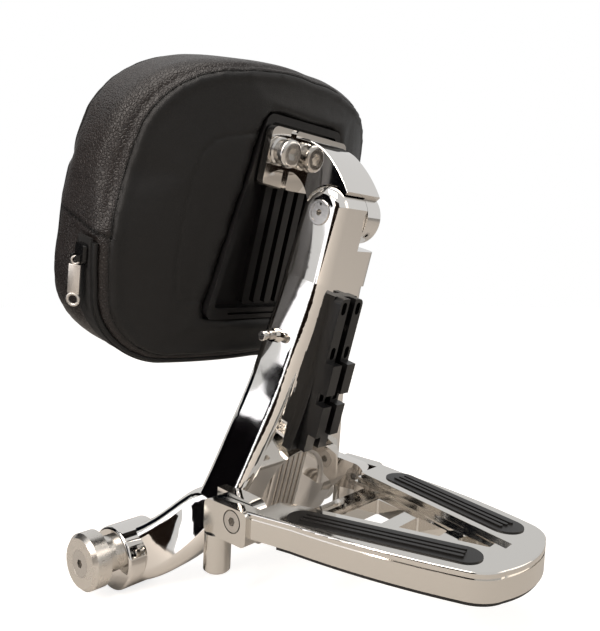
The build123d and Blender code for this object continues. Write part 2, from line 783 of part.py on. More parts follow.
# Rear track bracket: two rails with a groove between them, slotted, with two raised stop blocks
rail_middle = (bracket_half + bracket_groove / 2) / 2
bracket_length = bracket_top - bracket_bottom
bracket_middle = (bracket_top + bracket_bottom) / 2
flare_start = (bracket_half, bracket_flare_start)
flare_end = (bracket_flare_half, bracket_bottom)
with BuildPart() as rear_track:
    with BuildSketch(mast_front(bracket_base)):
        with BuildLine():
            Polyline((0, bracket_bottom), (0, bracket_top), (bracket_half, bracket_top), flare_start)
            TangentArc(flare_start, flare_end, tangent=(0, -1))
            Line(flare_end, (0, bracket_bottom))
        make_face()
        mirror(about=Plane.YZ)
    extrude(amount=bracket_base - crown_rear)
    with BuildSketch(mast_front(bracket_face)):
        with Locations((0, bracket_middle)):
            Rectangle(2 * bracket_half, bracket_length)
        fillet(vertices().sort_by(Axis.Y)[-2:], bracket_corner)
    extrude(amount=bracket_face - bracket_base)
    for block_top, block_bottom in bracket_blocks:
        with BuildSketch(mast_front(block_face)):
            with Locations((0, (block_top + block_bottom) / 2)):
                Rectangle(2 * bracket_half, block_top - block_bottom)
        extrude(amount=block_face - bracket_face)
    with BuildSketch(mast_front(block_face)):
        with Locations((0, bracket_middle)):
            Rectangle(bracket_groove, bracket_length)
    extrude(amount=block_face - bracket_base, mode=Mode.SUBTRACT)
    with BuildSketch(mast_front(bracket_face)):
        for up in oval_ups:
            with Locations((rail_middle, up), (-rail_middle, up)):
                SlotOverall(oval_length, oval_width, rotation=90)
    extrude(amount=bracket_face - bracket_base, mode=Mode.SUBTRACT)
    with BuildSketch(mast_front(bracket_face)):
        with Locations((0, (bracket_blocks[0][1] + bracket_blocks[1][0]) / 2)):
            with GridLocations(2 * rail_middle, 0, 2, 1):
                Rectangle(notch_width, notch_height)
    extrude(amount=notch_depth, mode=Mode.SUBTRACT)
    with BuildSketch(mast_front(bracket_base)):
        with Locations(*[(0, up) for up in bracket_screw_ups]):
            Circle(bracket_screw_radius + screw_gap)
    extrude(amount=bracket_base - crown_rear, mode=Mode.SUBTRACT)
save(rear_track, "rear_track")

with BuildPart() as track_screws:
    for up in bracket_screw_ups:
        with BuildSketch(mast_front(bracket_base + bracket_head)):
            with Locations((0, up)):
                Circle(bracket_head_radius)
        extrude(amount=bracket_head)
        with BuildSketch(mast_front(bracket_base)):
            with Locations((0, up)):
                Circle(bracket_screw_radius)
        extrude(amount=bracket_base - post_rear - 2 * running_gap)
        with BuildSketch(mast_front(bracket_base + bracket_head)):
            with Locations((0, up)):
                RegularPolygon(bracket_screw_radius, 6)
        extrude(amount=bracket_head / 2, mode=Mode.SUBTRACT)
save(track_screws, "track_screws")


# Release pin: tip in the post's keyway, grooved neck and button outside the crown's left cheek
release_tip = post_half - keyway_depth + running_gap
release_shoulder = release_end - release_button - release_neck
release_steps = [
    (release_tip, release_shoulder, release_radius),
    (release_shoulder, release_end - release_button, release_neck_radius),
    (release_end - release_button, release_end, release_button_radius),
]
with BuildPart() as release_pin:
    for start, end, radius in release_steps:
        with BuildSketch(mast_side(start)):
            with Locations((release_front, -release_drop)):
                Circle(radius)
        extrude(amount=end - start)
    fillet(faces().sort_by(Axis.X)[-1].edges(), release_button / 3)
save(release_pin, "release_pin")


# Luggage rack: plan outline, hinge knuckles, terraced recess, scooped web, windows and inlay seats
with BuildSketch(Plane.XY) as rack_plan:
    with BuildLine():
        Polyline(
            rack_corners[-1],
            (0, rack_front),
            (knuckle_inner, rack_front),
            (knuckle_inner, 0),
            (rack_arm_half, 0),
            rack_corners[0],
        )
        for start, bulge, end in zip(rack_corners, rack_bulges, rack_corners[1:]):
            ThreePointArc(start, bulge, end)
    make_face()
    mirror(about=Plane.YZ)

rack_reach = 4 * knuckle_face
inlay_run = Vector(inlay_rear[0] - inlay_front[0], inlay_rear[1] - inlay_front[1])
inlay_middle = ((inlay_front[0] + inlay_rear[0]) / 2, (inlay_front[1] + inlay_rear[1]) / 2)
inlay_angle = math.degrees(math.atan2(inlay_run.Y, inlay_run.X))
recess_slope = (recess_front_half - recess_rear_half) / (recess_rear - rack_front)
window_slope = (window_front_half - window_rear_half) / (window_rear - window_front)
window_ends = [window_front] + [y for bar in window_bars for y in bar] + [window_rear]
with BuildPart() as luggage_rack:
    with BuildSketch(rack_level(rack_bottom)):
        add(rack_plan.sketch)
    extrude(amount=rack_top - rack_bottom)
    rim_edges = faces().sort_by(Axis.Z)[-1].edges().filter_by(
        lambda e: e.geom_type == GeomType.CIRCLE or abs(e.center().X) > knuckle_inner + 1
    )
    fillet(rim_edges, rack_rim)
    with BuildSketch(rack_side(knuckle_inner)) as knuckle_sketch:
        with Locations(((knuckle_front + knuckle_rear) / 2, (knuckle_bottom + rack_top) / 2)):
            RectangleRounded(knuckle_rear - knuckle_front, rack_top - knuckle_bottom, knuckle_corner)
    extrude(amount=knuckle_face - knuckle_inner)
    with BuildSketch(rack_side(-knuckle_face)):
        add(knuckle_sketch.sketch_local)
    extrude(amount=knuckle_face - knuckle_inner)
    for step in range(step_count):
        step_rear = recess_rear - step * step_setback
        half_front = recess_front_half - step * step_width
        half_rear = half_front - recess_slope * (step_rear - rack_front)
        with BuildSketch(rack_level(rack_top - step * step_height)):
            Polygon(
                (half_front, rack_front),
                (half_rear, step_rear),
                (-half_rear, step_rear),
                (-half_front, rack_front),
                align=None,
            )
        extrude(amount=-step_height, mode=Mode.SUBTRACT)
    deck = rack_top - step_count * step_height
    with BuildSketch(rack_side(-scoop_half)):
        with BuildLine():
            ThreePointArc(
                (rack_front, scoop_front_top),
                ((rack_front + window_front) / 2, scoop_front_top + scoop_sag),
                (window_front, deck),
            )
            Polyline((window_front, deck), (rack_front, deck), (rack_front, scoop_front_top))
        make_face()
    extrude(amount=2 * scoop_half, mode=Mode.SUBTRACT)
    for front, rear in zip(window_ends[::2], window_ends[1::2]):
        half_front = window_front_half - window_slope * (front - window_front)
        half_rear = window_front_half - window_slope * (rear - window_front)
        with BuildSketch(rack_level(rack_top)):
            Polygon(
                (half_front, front),
                (half_rear, rear),
                (-half_rear, rear),
                (-half_front, front),
                align=None,
            )
            fillet(vertices(), window_corner)
        extrude(amount=rack_bottom - rack_top, mode=Mode.SUBTRACT)
    with BuildSketch(rack_level(rack_top)):
        with Locations((0, sliver_y)):
            SlotOverall(sliver_length, sliver_width)
    extrude(amount=rack_bottom - rack_top, mode=Mode.SUBTRACT)
    for side in SIDES.values():
        with BuildSketch(rack_level(rack_top)):
            with Locations((side * inlay_middle[0], inlay_middle[1])):
                SlotCenterToCenter(inlay_run.length, inlay_width, rotation=side * inlay_angle)
        extrude(amount=-inlay_sink, mode=Mode.SUBTRACT)
    with BuildSketch(rack_level(side_groove_top)):
        add(rack_plan.sketch)
        offset(rack_plan.sketch, amount=-side_groove_depth, mode=Mode.SUBTRACT)
        with Locations((0, knuckle_rear)):
            Rectangle(rack_reach, rack_reach, align=(Align.CENTER, Align.MIN), mode=Mode.INTERSECT)
        with Locations((0, rack_front)):
            Rectangle(2 * knuckle_inner, 4 * side_groove_depth, mode=Mode.SUBTRACT)
    extrude(amount=-side_groove_height, mode=Mode.SUBTRACT)
    with BuildSketch(rack_side(-knuckle_face)):
        Circle(sleeve_radius + pin_gap)
    extrude(amount=2 * knuckle_face, mode=Mode.SUBTRACT)
    for side in SIDES.values():
        with BuildSketch(rack_side(side * knuckle_face)):
            Circle(cap_ring_radius)
        extrude(amount=-side * (cap_head + running_gap), mode=Mode.SUBTRACT)
save(luggage_rack, "luggage_rack")


# Rubber: ridged inlays on the deck and a pad under the rack's edge
for hand, side in SIDES.items():
    inlay_place = Location((side * inlay_middle[0], inlay_middle[1], 0), (0, 0, side * inlay_angle))
    with BuildPart() as rack_inlay:
        with BuildSketch(rack_level(rack_top - inlay_sink)):
            with Locations(inlay_place):
                SlotCenterToCenter(inlay_run.length, inlay_width - 2 * screw_gap)
        extrude(amount=inlay_sink + inlay_proud)
        with BuildSketch(rack_level(rack_top + inlay_proud)):
            with Locations(inlay_place):
                with GridLocations(0, ridge_pitch, 1, ridge_count):
                    SlotCenterToCenter(inlay_run.length, ridge_width)
        extrude(amount=ridge_height)
    save(rack_inlay, f"rack_inlay_{hand}")

with BuildPart() as rack_underpad:
    with BuildSketch(rack_level(rack_bottom)):
        offset(rack_plan.sketch, amount=-underpad_inset)
        offset(rack_plan.sketch, amount=-underpad_inset - underpad_width, mode=Mode.SUBTRACT)
        with Locations((0, underpad_front)):
            Rectangle(rack_reach, rack_reach, align=(Align.CENTER, Align.MIN), mode=Mode.INTERSECT)
    extrude(amount=-underpad_thickness)
save(rack_underpad, "rack_underpad")


# Stop posts under the knuckles, and the hinge hardware: sleeve nuts and cap screws
for hand, side in SIDES.items():
    with BuildPart() as rack_stop:
        with BuildSketch(rack_level(knuckle_bottom)):
            with Locations((side * stop_x, stop_y)):
                Circle(stop_radius)
        extrude(amount=-stop_length)
        chamfer(faces().sort_by(Axis.Z)[0].edges(), rack_rim)
    save(rack_stop, f"rack_stop_{hand}")

cap_seat = knuckle_face - cap_head
with BuildPart() as hinge_sleeves:
    for side in SIDES.values():
        with BuildSketch(rack_side(side * lug_inner)):
            Circle(cap_head_radius)
        extrude(amount=side * sleeve_flange)
        with BuildSketch(rack_side(side * lug_inner)):
            Circle(sleeve_radius)
        extrude(amount=side * (sleeve_end - lug_inner))
        with BuildSketch(rack_side(side * sleeve_end)):
            Circle(cap_screw_radius + screw_gap)
        extrude(amount=side * (cap_screw_end - sleeve_end), mode=Mode.SUBTRACT)
        with BuildSketch(rack_side(side * lug_inner)):
            RegularPolygon(hex_socket_radius, 6)
        extrude(amount=side * socket_depth, mode=Mode.SUBTRACT)
save(hinge_sleeves, "hinge_sleeves")

with BuildPart() as hinge_cap_screws:
    for side in SIDES.values():
        with BuildSketch(rack_side(side * cap_seat)):
            Circle(cap_head_radius)
        extrude(amount=side * cap_head)
        with BuildSketch(rack_side(side * cap_seat)):
            Circle(cap_screw_radius)
        extrude(amount=side * (cap_screw_end - cap_seat))
        with BuildSketch(rack_side(side * knuckle_face)):
            RegularPolygon(hex_socket_radius, 6)
        extrude(amount=-side * socket_depth, mode=Mode.SUBTRACT)
save(hinge_cap_screws, "hinge_cap_screws")
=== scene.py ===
"""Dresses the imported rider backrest: sewn leather pad, zipper, chromed castings, studio and camera."""

import json
import logging
import math
from dataclasses import dataclass
from enum import Enum
from functools import cached_property

import bmesh
import bpy
from bmesh.types import BMEdge, BMesh, BMVert
from bpy.types import ID, Material, Mesh, MeshVertex, Node, NodeSocket, NodeTree, Object
from mathutils import Matrix, Vector
from mathutils.bvhtree import BVHTree
from mathutils.kdtree import KDTree


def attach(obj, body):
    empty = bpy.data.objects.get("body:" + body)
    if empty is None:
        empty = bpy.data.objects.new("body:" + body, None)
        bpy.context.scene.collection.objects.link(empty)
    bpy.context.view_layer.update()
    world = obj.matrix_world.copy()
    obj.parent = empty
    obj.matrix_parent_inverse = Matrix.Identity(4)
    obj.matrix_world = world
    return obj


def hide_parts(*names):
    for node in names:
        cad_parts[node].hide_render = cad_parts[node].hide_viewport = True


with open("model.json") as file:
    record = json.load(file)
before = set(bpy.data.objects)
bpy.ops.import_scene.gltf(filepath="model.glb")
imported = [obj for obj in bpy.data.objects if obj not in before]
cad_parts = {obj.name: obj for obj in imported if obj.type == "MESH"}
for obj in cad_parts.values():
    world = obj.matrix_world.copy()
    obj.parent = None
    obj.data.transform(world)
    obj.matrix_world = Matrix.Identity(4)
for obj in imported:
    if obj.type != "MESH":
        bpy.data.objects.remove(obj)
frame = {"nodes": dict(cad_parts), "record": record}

MM = 0.001
# A wave texture turns this many radians in each unit of its scaled coordinates.
WAVE_RADIANS = 20
log = logging.getLogger("backrest")
Span = tuple[float, float]
Place = tuple[float, float, float]


def srgb(code: str) -> tuple[float, float, float, float]:
    """Turns an sRGB hex colour into a linear one.

    Args:
        code: Six hex digits, with or without a leading hash.

    Returns:
        Linear red, green and blue, and an alpha of 1.
    """
    digits = code.lstrip("#")
    channels = [int(digits[i : i + 2], 16) / 255 for i in (0, 2, 4)]
    linear = [c / 12.92 if c <= 0.04045 else ((c + 0.055) / 1.055) ** 2.4 for c in channels]
    return (linear[0], linear[1], linear[2], 1.0)


def feed(tree: NodeTree, node: Node, inputs: dict) -> None:
    """Fills or links a node's inputs.

    Args:
        tree: The node's tree.
        node: The node.
        inputs: Socket name or index to a value, to the output that feeds it, or to a node whose first
            output in use feeds it.
    """
    for key, value in inputs.items():
        if isinstance(value, Node):
            value = next(output for output in value.outputs if output.enabled)
        if isinstance(value, NodeSocket):
            tree.links.new(value, node.inputs[key])
        else:
            node.inputs[key].default_value = value


def add_node(tree: NodeTree, kind: str, inputs: dict | None = None, **settings) -> Node:
    """Adds one node with its settings and links.

    Args:
        tree: The node tree it goes in.
        kind: The node's type name, without its ShaderNode.
        inputs: What its inputs take.
        **settings: Properties of the node itself.

    Returns:
        The new node.
    """
    node = tree.nodes.new(f"ShaderNode{kind}")
    for key, value in settings.items():
        setattr(node, key, value)
    feed(tree, node, inputs or {})
    return node


def per_metre(size_mm: float) -> float:
    """Texture scale, in repeats a metre, for a pattern of this size in millimetres."""
    return 1.0 / (size_mm * MM)


def new_material(name: str) -> tuple[Material, NodeTree, Node]:
    """Makes an empty material with its shader and output joined.

    Args:
        name: The material's name.

    Returns:
        The material, its node tree and its Principled shader.
    """
    material = bpy.data.materials.new(name)
    material.use_nodes = True
    tree = material.node_tree
    tree.nodes.clear()
    shader = add_node(tree, "BsdfPrincipled")
    add_node(tree, "OutputMaterial", {"Surface": shader})
    return material, tree, shader


@dataclass(frozen=True)
class Finish:
    """A real surface's finish. Each kind of finish says what feeds the shader."""

    name: str

    def feeds(self, tree: NodeTree, place: NodeSocket) -> tuple[dict, list]:
        """Adds the finish's patterns.

        Args:
            tree: The material's node tree.
            place: The Object coordinates, which every pattern reads.

        Returns:
            What the shader's inputs take, and each bump's height, strength and depth in millimetres.
        """
        raise NotImplementedError

    def build(self) -> Material:
        """Makes the material, with each bump laid on the one before."""
        material, tree, shader = new_material(self.name)
        inputs, bumps = self.feeds(tree, add_node(tree, "TexCoord").outputs["Object"])
        below: dict = {}
        for height, strength, depth_mm in bumps:
            relief = {"Height": height, "Strength": strength, "Distance": depth_mm * MM} | below
            below = {"Normal": add_node(tree, "Bump", relief)}
        feed(tree, shader, inputs | below)
        return material


@dataclass(frozen=True)
class ChromePlate(Finish):
    """Decorative chrome on a buffed casting: a mirror with a slow waviness and handling haze."""

    tint: str = "#e6e3df"
    roughness: float = 0.035
    haze: float = 0.04
    haze_mm: float = 9.0
    wave_mm: float = 42.0
    wave_depth_mm: float = 0.30

    def feeds(self, tree: NodeTree, place: NodeSocket) -> tuple[dict, list]:
        """Waves the surface slowly and spreads the haze in patches."""
        wave = add_node(tree, "TexNoise", {"Vector": place, "Scale": per_metre(self.wave_mm), "Detail": 1.0})
        haze = add_node(
            tree, "TexNoise",
            {"Vector": place, "Scale": per_metre(self.haze_mm), "Detail": 5.0, "Roughness": 0.65},
        )
        spread = add_node(
            tree, "MapRange",
            {"Value": haze, "From Min": 0.4, "From Max": 0.75, "To Min": self.roughness,
             "To Max": self.roughness + self.haze},
        )
        inputs = {"Base Color": srgb(self.tint), "Metallic": 1.0, "Roughness": spread}
        return inputs, [(wave, 0.35, self.wave_depth_mm)]


@dataclass(frozen=True)
class TurnedSteel(Finish):
    """Zinc-plated steel off the lathe: rings about the X axis, softer than the chrome beside it.

    One radian of the ring's wave is ring_mm long, so the rings are coarse enough to show.
    """

    tint: str = "#dcd8d2"
    roughness: float = 0.26
    ring_mm: float = 0.7
    ring_depth_mm: float = 0.02
    smudge_mm: float = 5.0

    def feeds(self, tree: NodeTree, place: NodeSocket) -> tuple[dict, list]:
        """Turns the rings in and smudges the gloss."""
        rings = add_node(
            tree, "TexWave",
            {"Vector": place, "Scale": per_metre(self.ring_mm) / WAVE_RADIANS, "Distortion": 0.4,
             "Detail": 2.0},
            wave_type="RINGS", rings_direction="X",
        )
        smudge = add_node(
            tree, "TexNoise", {"Vector": place, "Scale": per_metre(self.smudge_mm), "Detail": 4.0}
        )
        spread = add_node(
            tree, "MapRange",
            {"Value": smudge, "To Min": self.roughness * 0.7, "To Max": self.roughness * 1.5},
        )
        inputs = {"Base Color": srgb(self.tint), "Metallic": 1.0, "Roughness": spread}
        return inputs, [(rings.outputs["Fac"], 0.5, self.ring_depth_mm)]


@dataclass(frozen=True)
class GrainLeather(Finish):
    """Finished cowhide over foam: pebbled on the boxing, pressed nearly smooth on the back panel. Painted
    light lifts the boxing, and painted shade darkens the back panel, the grain's hollows and the seams.
    """

    # The boxing's colour and its worn patches are lifted well above the back panel's as painted light. The
    # back panel's colour is darkened as painted shade. The crease colour is painted shade in the grain's
    # hollows and along the seams.
    colour: str = "#1d1817"
    worn_and_lit: str = "#282220"
    crease_shade: str = "#070605"
    panel: str = "#060505"
    pebble_mm: float = 2.0
    pebble_depth_mm: float = 0.24
    panel_pebble_mm: float = 0.9
    warp_mm: float = 6.0
    warp_shift_mm: float = 1.2
    fold_mm: float = 38.0
    fold_depth_mm: float = 2.2
    pucker_mm: float = 7.0
    pucker_depth_mm: float = 1.2
    roughness: float = 0.40
    panel_roughness: float = 0.52

    def feeds(self, tree: NodeTree, place: NodeSocket) -> tuple[dict, list]:
        """Presses the grain in, and reads how far a point is on the boxing and near a seam."""
        boxing = add_node(tree, "Attribute", attribute_name="boxing").outputs["Fac"]
        sewn = add_node(tree, "Attribute", attribute_name="sewn").outputs["Fac"]
        warp = add_node(tree, "TexNoise", {"Vector": place, "Scale": per_metre(self.warp_mm), "Detail": 2.0})
        bent = add_node(
            tree, "VectorMath", {0: warp.outputs["Color"], 1: (self.warp_shift_mm * MM,) * 3},
            operation="MULTIPLY",
        )
        moved = add_node(tree, "VectorMath", {0: place, 1: bent}, operation="ADD")
        blend = {"Factor": boxing}
        for key, size, tops in (
            ("A", self.panel_pebble_mm, {"From Max": 0.3, "To Min": 0.75}),
            ("B", self.pebble_mm, {"From Max": 0.22}),
        ):
            place_of = {"Vector": moved, "Scale": per_metre(size)}
            tops["Value"] = add_node(tree, "TexVoronoi", place_of, feature="DISTANCE_TO_EDGE")
            blend[key] = add_node(tree, "MapRange", tops, interpolation_type="SMOOTHSTEP")
        grain = add_node(tree, "Mix", blend, data_type="FLOAT")
        slow = add_node(
            tree, "TexNoise",
            {"Vector": place, "Scale": per_metre(self.fold_mm), "Detail": 3.0, "Roughness": 0.55},
        )
        wear = add_node(tree, "MapRange", {"Value": slow, "From Min": 0.42, "From Max": 0.72, "To Max": 0.55})
        # Painted shade in the grain's hollows, where the pebbles meet.
        lower = add_node(tree, "MapRange", {"Value": grain, "From Max": 0.6, "To Min": 0.55, "To Max": 0.0})
        colour = srgb(self.colour)
        # Worn patches, then the back panel's painted shade, then painted shade in the grain's hollows and
        # along the seams.
        for share, under, over in (
            (wear, None, srgb(self.worn_and_lit)), (boxing, srgb(self.panel), None),
            (lower, None, srgb(self.crease_shade)), (sewn, None, srgb(self.crease_shade)),
        ):
            mixed = {"Factor": share, "A": under or colour, "B": over or colour}
            colour = add_node(tree, "Mix", mixed, data_type="RGBA")
        finish = {"Factor": boxing, "A": self.panel_roughness, "B": self.roughness}
        gloss = add_node(tree, "Mix", finish, data_type="FLOAT")
        puckers = add_node(
            tree, "TexNoise", {"Vector": place, "Scale": per_metre(self.pucker_mm), "Detail": 2.0}
        )
        pull = add_node(tree, "Math", {0: puckers, 1: sewn}, operation="MULTIPLY")
        inputs = {
            "Base Color": colour, "Roughness": gloss, "IOR": 1.42, "Sheen Weight": 0.03,
            "Sheen Roughness": 0.4,
        }
        return inputs, [
            (slow, 0.6, self.fold_depth_mm), (pull, 0.6, self.pucker_depth_mm),
            (grain, 0.8, self.pebble_depth_mm),
        ]


@dataclass(frozen=True)
class MouldedPolymer(Finish):
    """Moulded or coated black, such as nylon, powder coat or rubber: an even stipple, dulled on top."""

    colour: str
    dust: str
    roughness: float
    stipple_mm: float = 0.8
    stipple_depth_mm: float = 0.04
    patch_mm: float = 22.0

    def feeds(self, tree: NodeTree, place: NodeSocket) -> tuple[dict, list]:
        """Stipples the surface and lays dust on it in patches."""
        stipple = add_node(
            tree, "TexNoise", {"Vector": place, "Scale": per_metre(self.stipple_mm), "Detail": 2.0}
        )
        patches = add_node(
            tree, "TexNoise",
            {"Vector": place, "Scale": per_metre(self.patch_mm), "Detail": 4.0, "Roughness": 0.6},
        )
        dusty = add_node(
            tree, "MapRange", {"Value": patches, "From Min": 0.45, "From Max": 0.8, "To Max": 0.6}
        )
        colour = add_node(
            tree, "Mix", {"Factor": dusty, "A": srgb(self.colour), "B": srgb(self.dust)}, data_type="RGBA"
        )
        gloss = add_node(
            tree, "MapRange",
            {"Value": patches, "To Min": self.roughness * 0.85, "To Max": self.roughness * 1.2},
        )
        inputs = {"Base Color": colour, "Roughness": gloss, "IOR": 1.45}
        return inputs, [(stipple, 0.5, self.stipple_depth_mm)]


@dataclass(frozen=True)
class WovenTape(Finish):
    """Polyester zipper tape: a tight herringbone that catches the light in fine diagonal ribs."""

    colour: str = "#030303"
    lit: str = "#090808"
    rib_mm: float = 0.9
    rib_depth_mm: float = 0.15

    def feeds(self, tree: NodeTree, place: NodeSocket) -> tuple[dict, list]:
        """Weaves the ribs."""
        ribs = add_node(
            tree, "TexWave",
            {"Vector": place, "Scale": per_metre(self.rib_mm) / WAVE_RADIANS, "Distortion": 0.6},
            wave_type="BANDS", bands_direction="DIAGONAL",
        ).outputs["Fac"]
        colour = add_node(
            tree, "Mix", {"Factor": ribs, "A": srgb(self.colour), "B": srgb(self.lit)}, data_type="RGBA"
        )
        return {"Base Color": colour, "Roughness": 0.85}, [(ribs, 0.6, self.rib_depth_mm)]


class Surface(Enum):
    """The finishes that the object's pieces wear."""

    CASTING = ChromePlate("chrome_buffed_casting")
    RACK = ChromePlate("chrome_rack_casting", tint="#dad7d2", roughness=0.06, haze=0.07)
    MAST = ChromePlate("chrome_extruded_mast", tint="#d4d0cb", roughness=0.07, wave_depth_mm=0.1)
    SPOOL = TurnedSteel("zinc_plated_spool")
    FASTENER = TurnedSteel("zinc_plated_fastener", tint="#cbc8c4", roughness=0.2, ring_mm=0.5)
    PULL = TurnedSteel("cast_zinc_zipper", tint="#d3cfca", roughness=0.42, ring_mm=1.1)
    BRACKET = MouldedPolymer("powder_coated_bracket", "#0b0b0c", "#151516", 0.34, 0.9, 0.05)
    TRACK = MouldedPolymer("moulded_nylon_track", "#0a090a", "#141213", 0.34, 0.7, 0.03)
    DECK = MouldedPolymer("ribbed_deck_rubber", "#0f0d0c", "#1b1917", 0.42, 0.6, 0.05)
    SLIDER = MouldedPolymer("enamelled_zipper_slider", "#0e0e0f", "#1a1a1b", 0.22, 0.6, 0.01)
    THREAD = MouldedPolymer("bonded_nylon_thread", "#050505", "#0b0a0a", 0.6, 0.3, 0.05)
    TAPE = WovenTape("polyester_zipper_tape")
    LEATHER = GrainLeather("finished_cowhide")
    # The lips carry no boxing mark, so they take the back panel's painted-shade colour.
    LIP = GrainLeather("folded_leather_lip", pebble_mm=1.2, pebble_depth_mm=0.2)


FINISH_OF_SLOT = {
    "casting_chrome": Surface.CASTING,
    "rack_chrome": Surface.RACK,
    "mast_steel": Surface.MAST,
    "spool_steel": Surface.SPOOL,
    "fastener_steel": Surface.FASTENER,
    "zip_metal": Surface.SLIDER,
    "bracket_black": Surface.BRACKET,
    "track_plastic": Surface.TRACK,
    "deck_rubber": Surface.DECK,
    "zip_fabric": Surface.TAPE,
}


@dataclass(frozen=True)
class MastSpace:
    """Places along the leaning mast: across, rearward and up from the lock's axis, in millimetres."""

    lean_deg: float = 17.35
    lock_y: float = 117.0
    lock_z: float = 222.0

    @property
    def up(self) -> Vector:
        """Unit vector up the mast."""
        return Vector((0, math.sin(math.radians(self.lean_deg)), math.cos(math.radians(self.lean_deg))))

    @property
    def rear(self) -> Vector:
        """Unit vector square to the mast, to the rear."""
        return Vector((0, math.cos(math.radians(self.lean_deg)), -math.sin(math.radians(self.lean_deg))))

    def point(self, x: float, rear: float, up: float) -> Vector:
        """A point in the object's frame, in metres.

        Args:
            x: Across, in millimetres.
            rear: Rearward of the lock's axis.
            up: Up the mast from the lock's axis.

        Returns:
            The point.
        """
        return (Vector((x, self.lock_y, self.lock_z)) + self.rear * rear + self.up * up) * MM

    def read(self, point: Vector) -> Place:
        """Across, rearward and up, in millimetres, of a point given in metres."""
        away = Vector(point) / MM - Vector((0, self.lock_y, self.lock_z))
        return away.x, away.dot(self.rear), away.dot(self.up)


MAST = MastSpace()
# The leather as cloth: stiff across and along, soft to bend, blown up from inside.
LEATHER_CLOTH = {
    "quality": 6,
    "mass": 0.4,
    "tension_stiffness": 30,
    "compression_stiffness": 30,
    "bending_stiffness": 4,
    "use_pressure": True,
    "uniform_pressure_force": 4.0,
    "vertex_group_mass": "held",
}


def smoothstep(low: float, high: float, value: float) -> float:
    """0 below low, 1 above high, and a smooth rise between."""
    t = min(max((value - low) / (high - low), 0.0), 1.0)
    return t * t * (3 - 2 * t)


def hump(away: float, width: float) -> float:
    """A bell curve, 1 at its middle."""
    return math.exp(-((away / width) ** 2))


def object_of(name: str, data: ID) -> Object:
    """Links a mesh, lamp or camera into the scene as an object at the origin."""
    piece = bpy.data.objects.new(name, data)
    bpy.context.scene.collection.objects.link(piece)
    return piece


def coat(piece: Object, material: Material) -> None:
    """Gives a piece one material."""
    piece.data.materials.clear()
    piece.data.materials.append(material)


def finish_mesh(name: str, shape: BMesh, smooth_deg: float = 35.0) -> Object:
    """Turns a finished bmesh into an object, smooth but for its sharp edges.

    Args:
        name: The piece's name.
        shape: The bmesh, which is freed.
        smooth_deg: Edges sharper than this stay sharp.

    Returns:
        The new object.
    """
    mesh = bpy.data.meshes.new(name)
    shape.to_mesh(mesh)
    shape.free()
    mesh.shade_smooth()
    mesh.set_sharp_from_angle(angle=math.radians(smooth_deg))
    return object_of(name, mesh)


def evaluated_mesh(piece: Object) -> Mesh:
    """A new mesh of the piece as its modifiers leave it."""
    bpy.context.view_layer.update()
    depsgraph = bpy.context.evaluated_depsgraph_get()
    return bpy.data.meshes.new_from_object(piece.evaluated_get(depsgraph))


def write_attribute(mesh: Mesh, name: str, values: list[float]) -> None:
    """Adds a number to each of the mesh's points under a name that a material can read."""
    mesh.attributes.new(name, "FLOAT", "POINT").data.foreach_set("value", values)


def apply_modifiers(piece: Object) -> None:
    """Bakes every modifier into the piece's mesh."""
    mesh = evaluated_mesh(piece)
    piece.modifiers.clear()
    piece.data = mesh


def dress(piece: Object, material: Material, body: str) -> None:
    """Gives a new piece its material and the body it rides on."""
    coat(piece, material)
    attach(piece, body)
    log.info("%s rides on %s", piece.name, body)


def sweep(frames: list[Matrix], width: float, height: float, sides: int, closed: bool) -> BMesh:
    """Draws an oval section along a run of frames.

    Args:
        frames: Where each section stands; its X and Y axes are the oval's own.
        width: The oval's full width, in millimetres.
        height: The oval's full height.
        sides: How many sides the oval has.
        closed: True where the last section meets the first.

    Returns:
        The swept shape, capped at both ends unless it is closed.
    """
    shape = bmesh.new()
    oval = frames[0] @ Matrix.Diagonal((width * MM / 2, height * MM / 2, 1, 1))
    first = bmesh.ops.create_circle(shape, cap_ends=False, segments=sides, radius=1.0, matrix=oval)
    verts = first["verts"]
    ring = list({edge for vert in verts for edge in vert.link_edges})
    start = ring
    for before, after in zip(frames, frames[1:]):
        grown = bmesh.ops.extrude_edge_only(shape, edges=ring)
        verts = [part for part in grown["geom"] if isinstance(part, BMVert)]
        ring = [
            part for part in grown["geom"]
            if isinstance(part, BMEdge) and all(v in verts for v in part.verts)
        ]
        bmesh.ops.transform(shape, matrix=after @ before.inverted(), verts=verts)
    if closed:
        bmesh.ops.bridge_loops(shape, edges=start + ring)
    else:
        bmesh.ops.holes_fill(shape, edges=start + ring, sides=sides)
    bmesh.ops.recalc_face_normals(shape, faces=shape.faces)
    return shape


def frame_at(place: Vector, width_axis: Vector, along: Vector) -> Matrix:
    """A frame at a place, its X along width_axis as nearly as along, its Z, allows."""
    forward = along.normalized()
    side = (width_axis - forward * width_axis.dot(forward)).normalized()
    height = forward.cross(side)
    turn = Matrix((side, height, forward)).transposed().to_4x4()
    return Matrix.Translation(place) @ turn


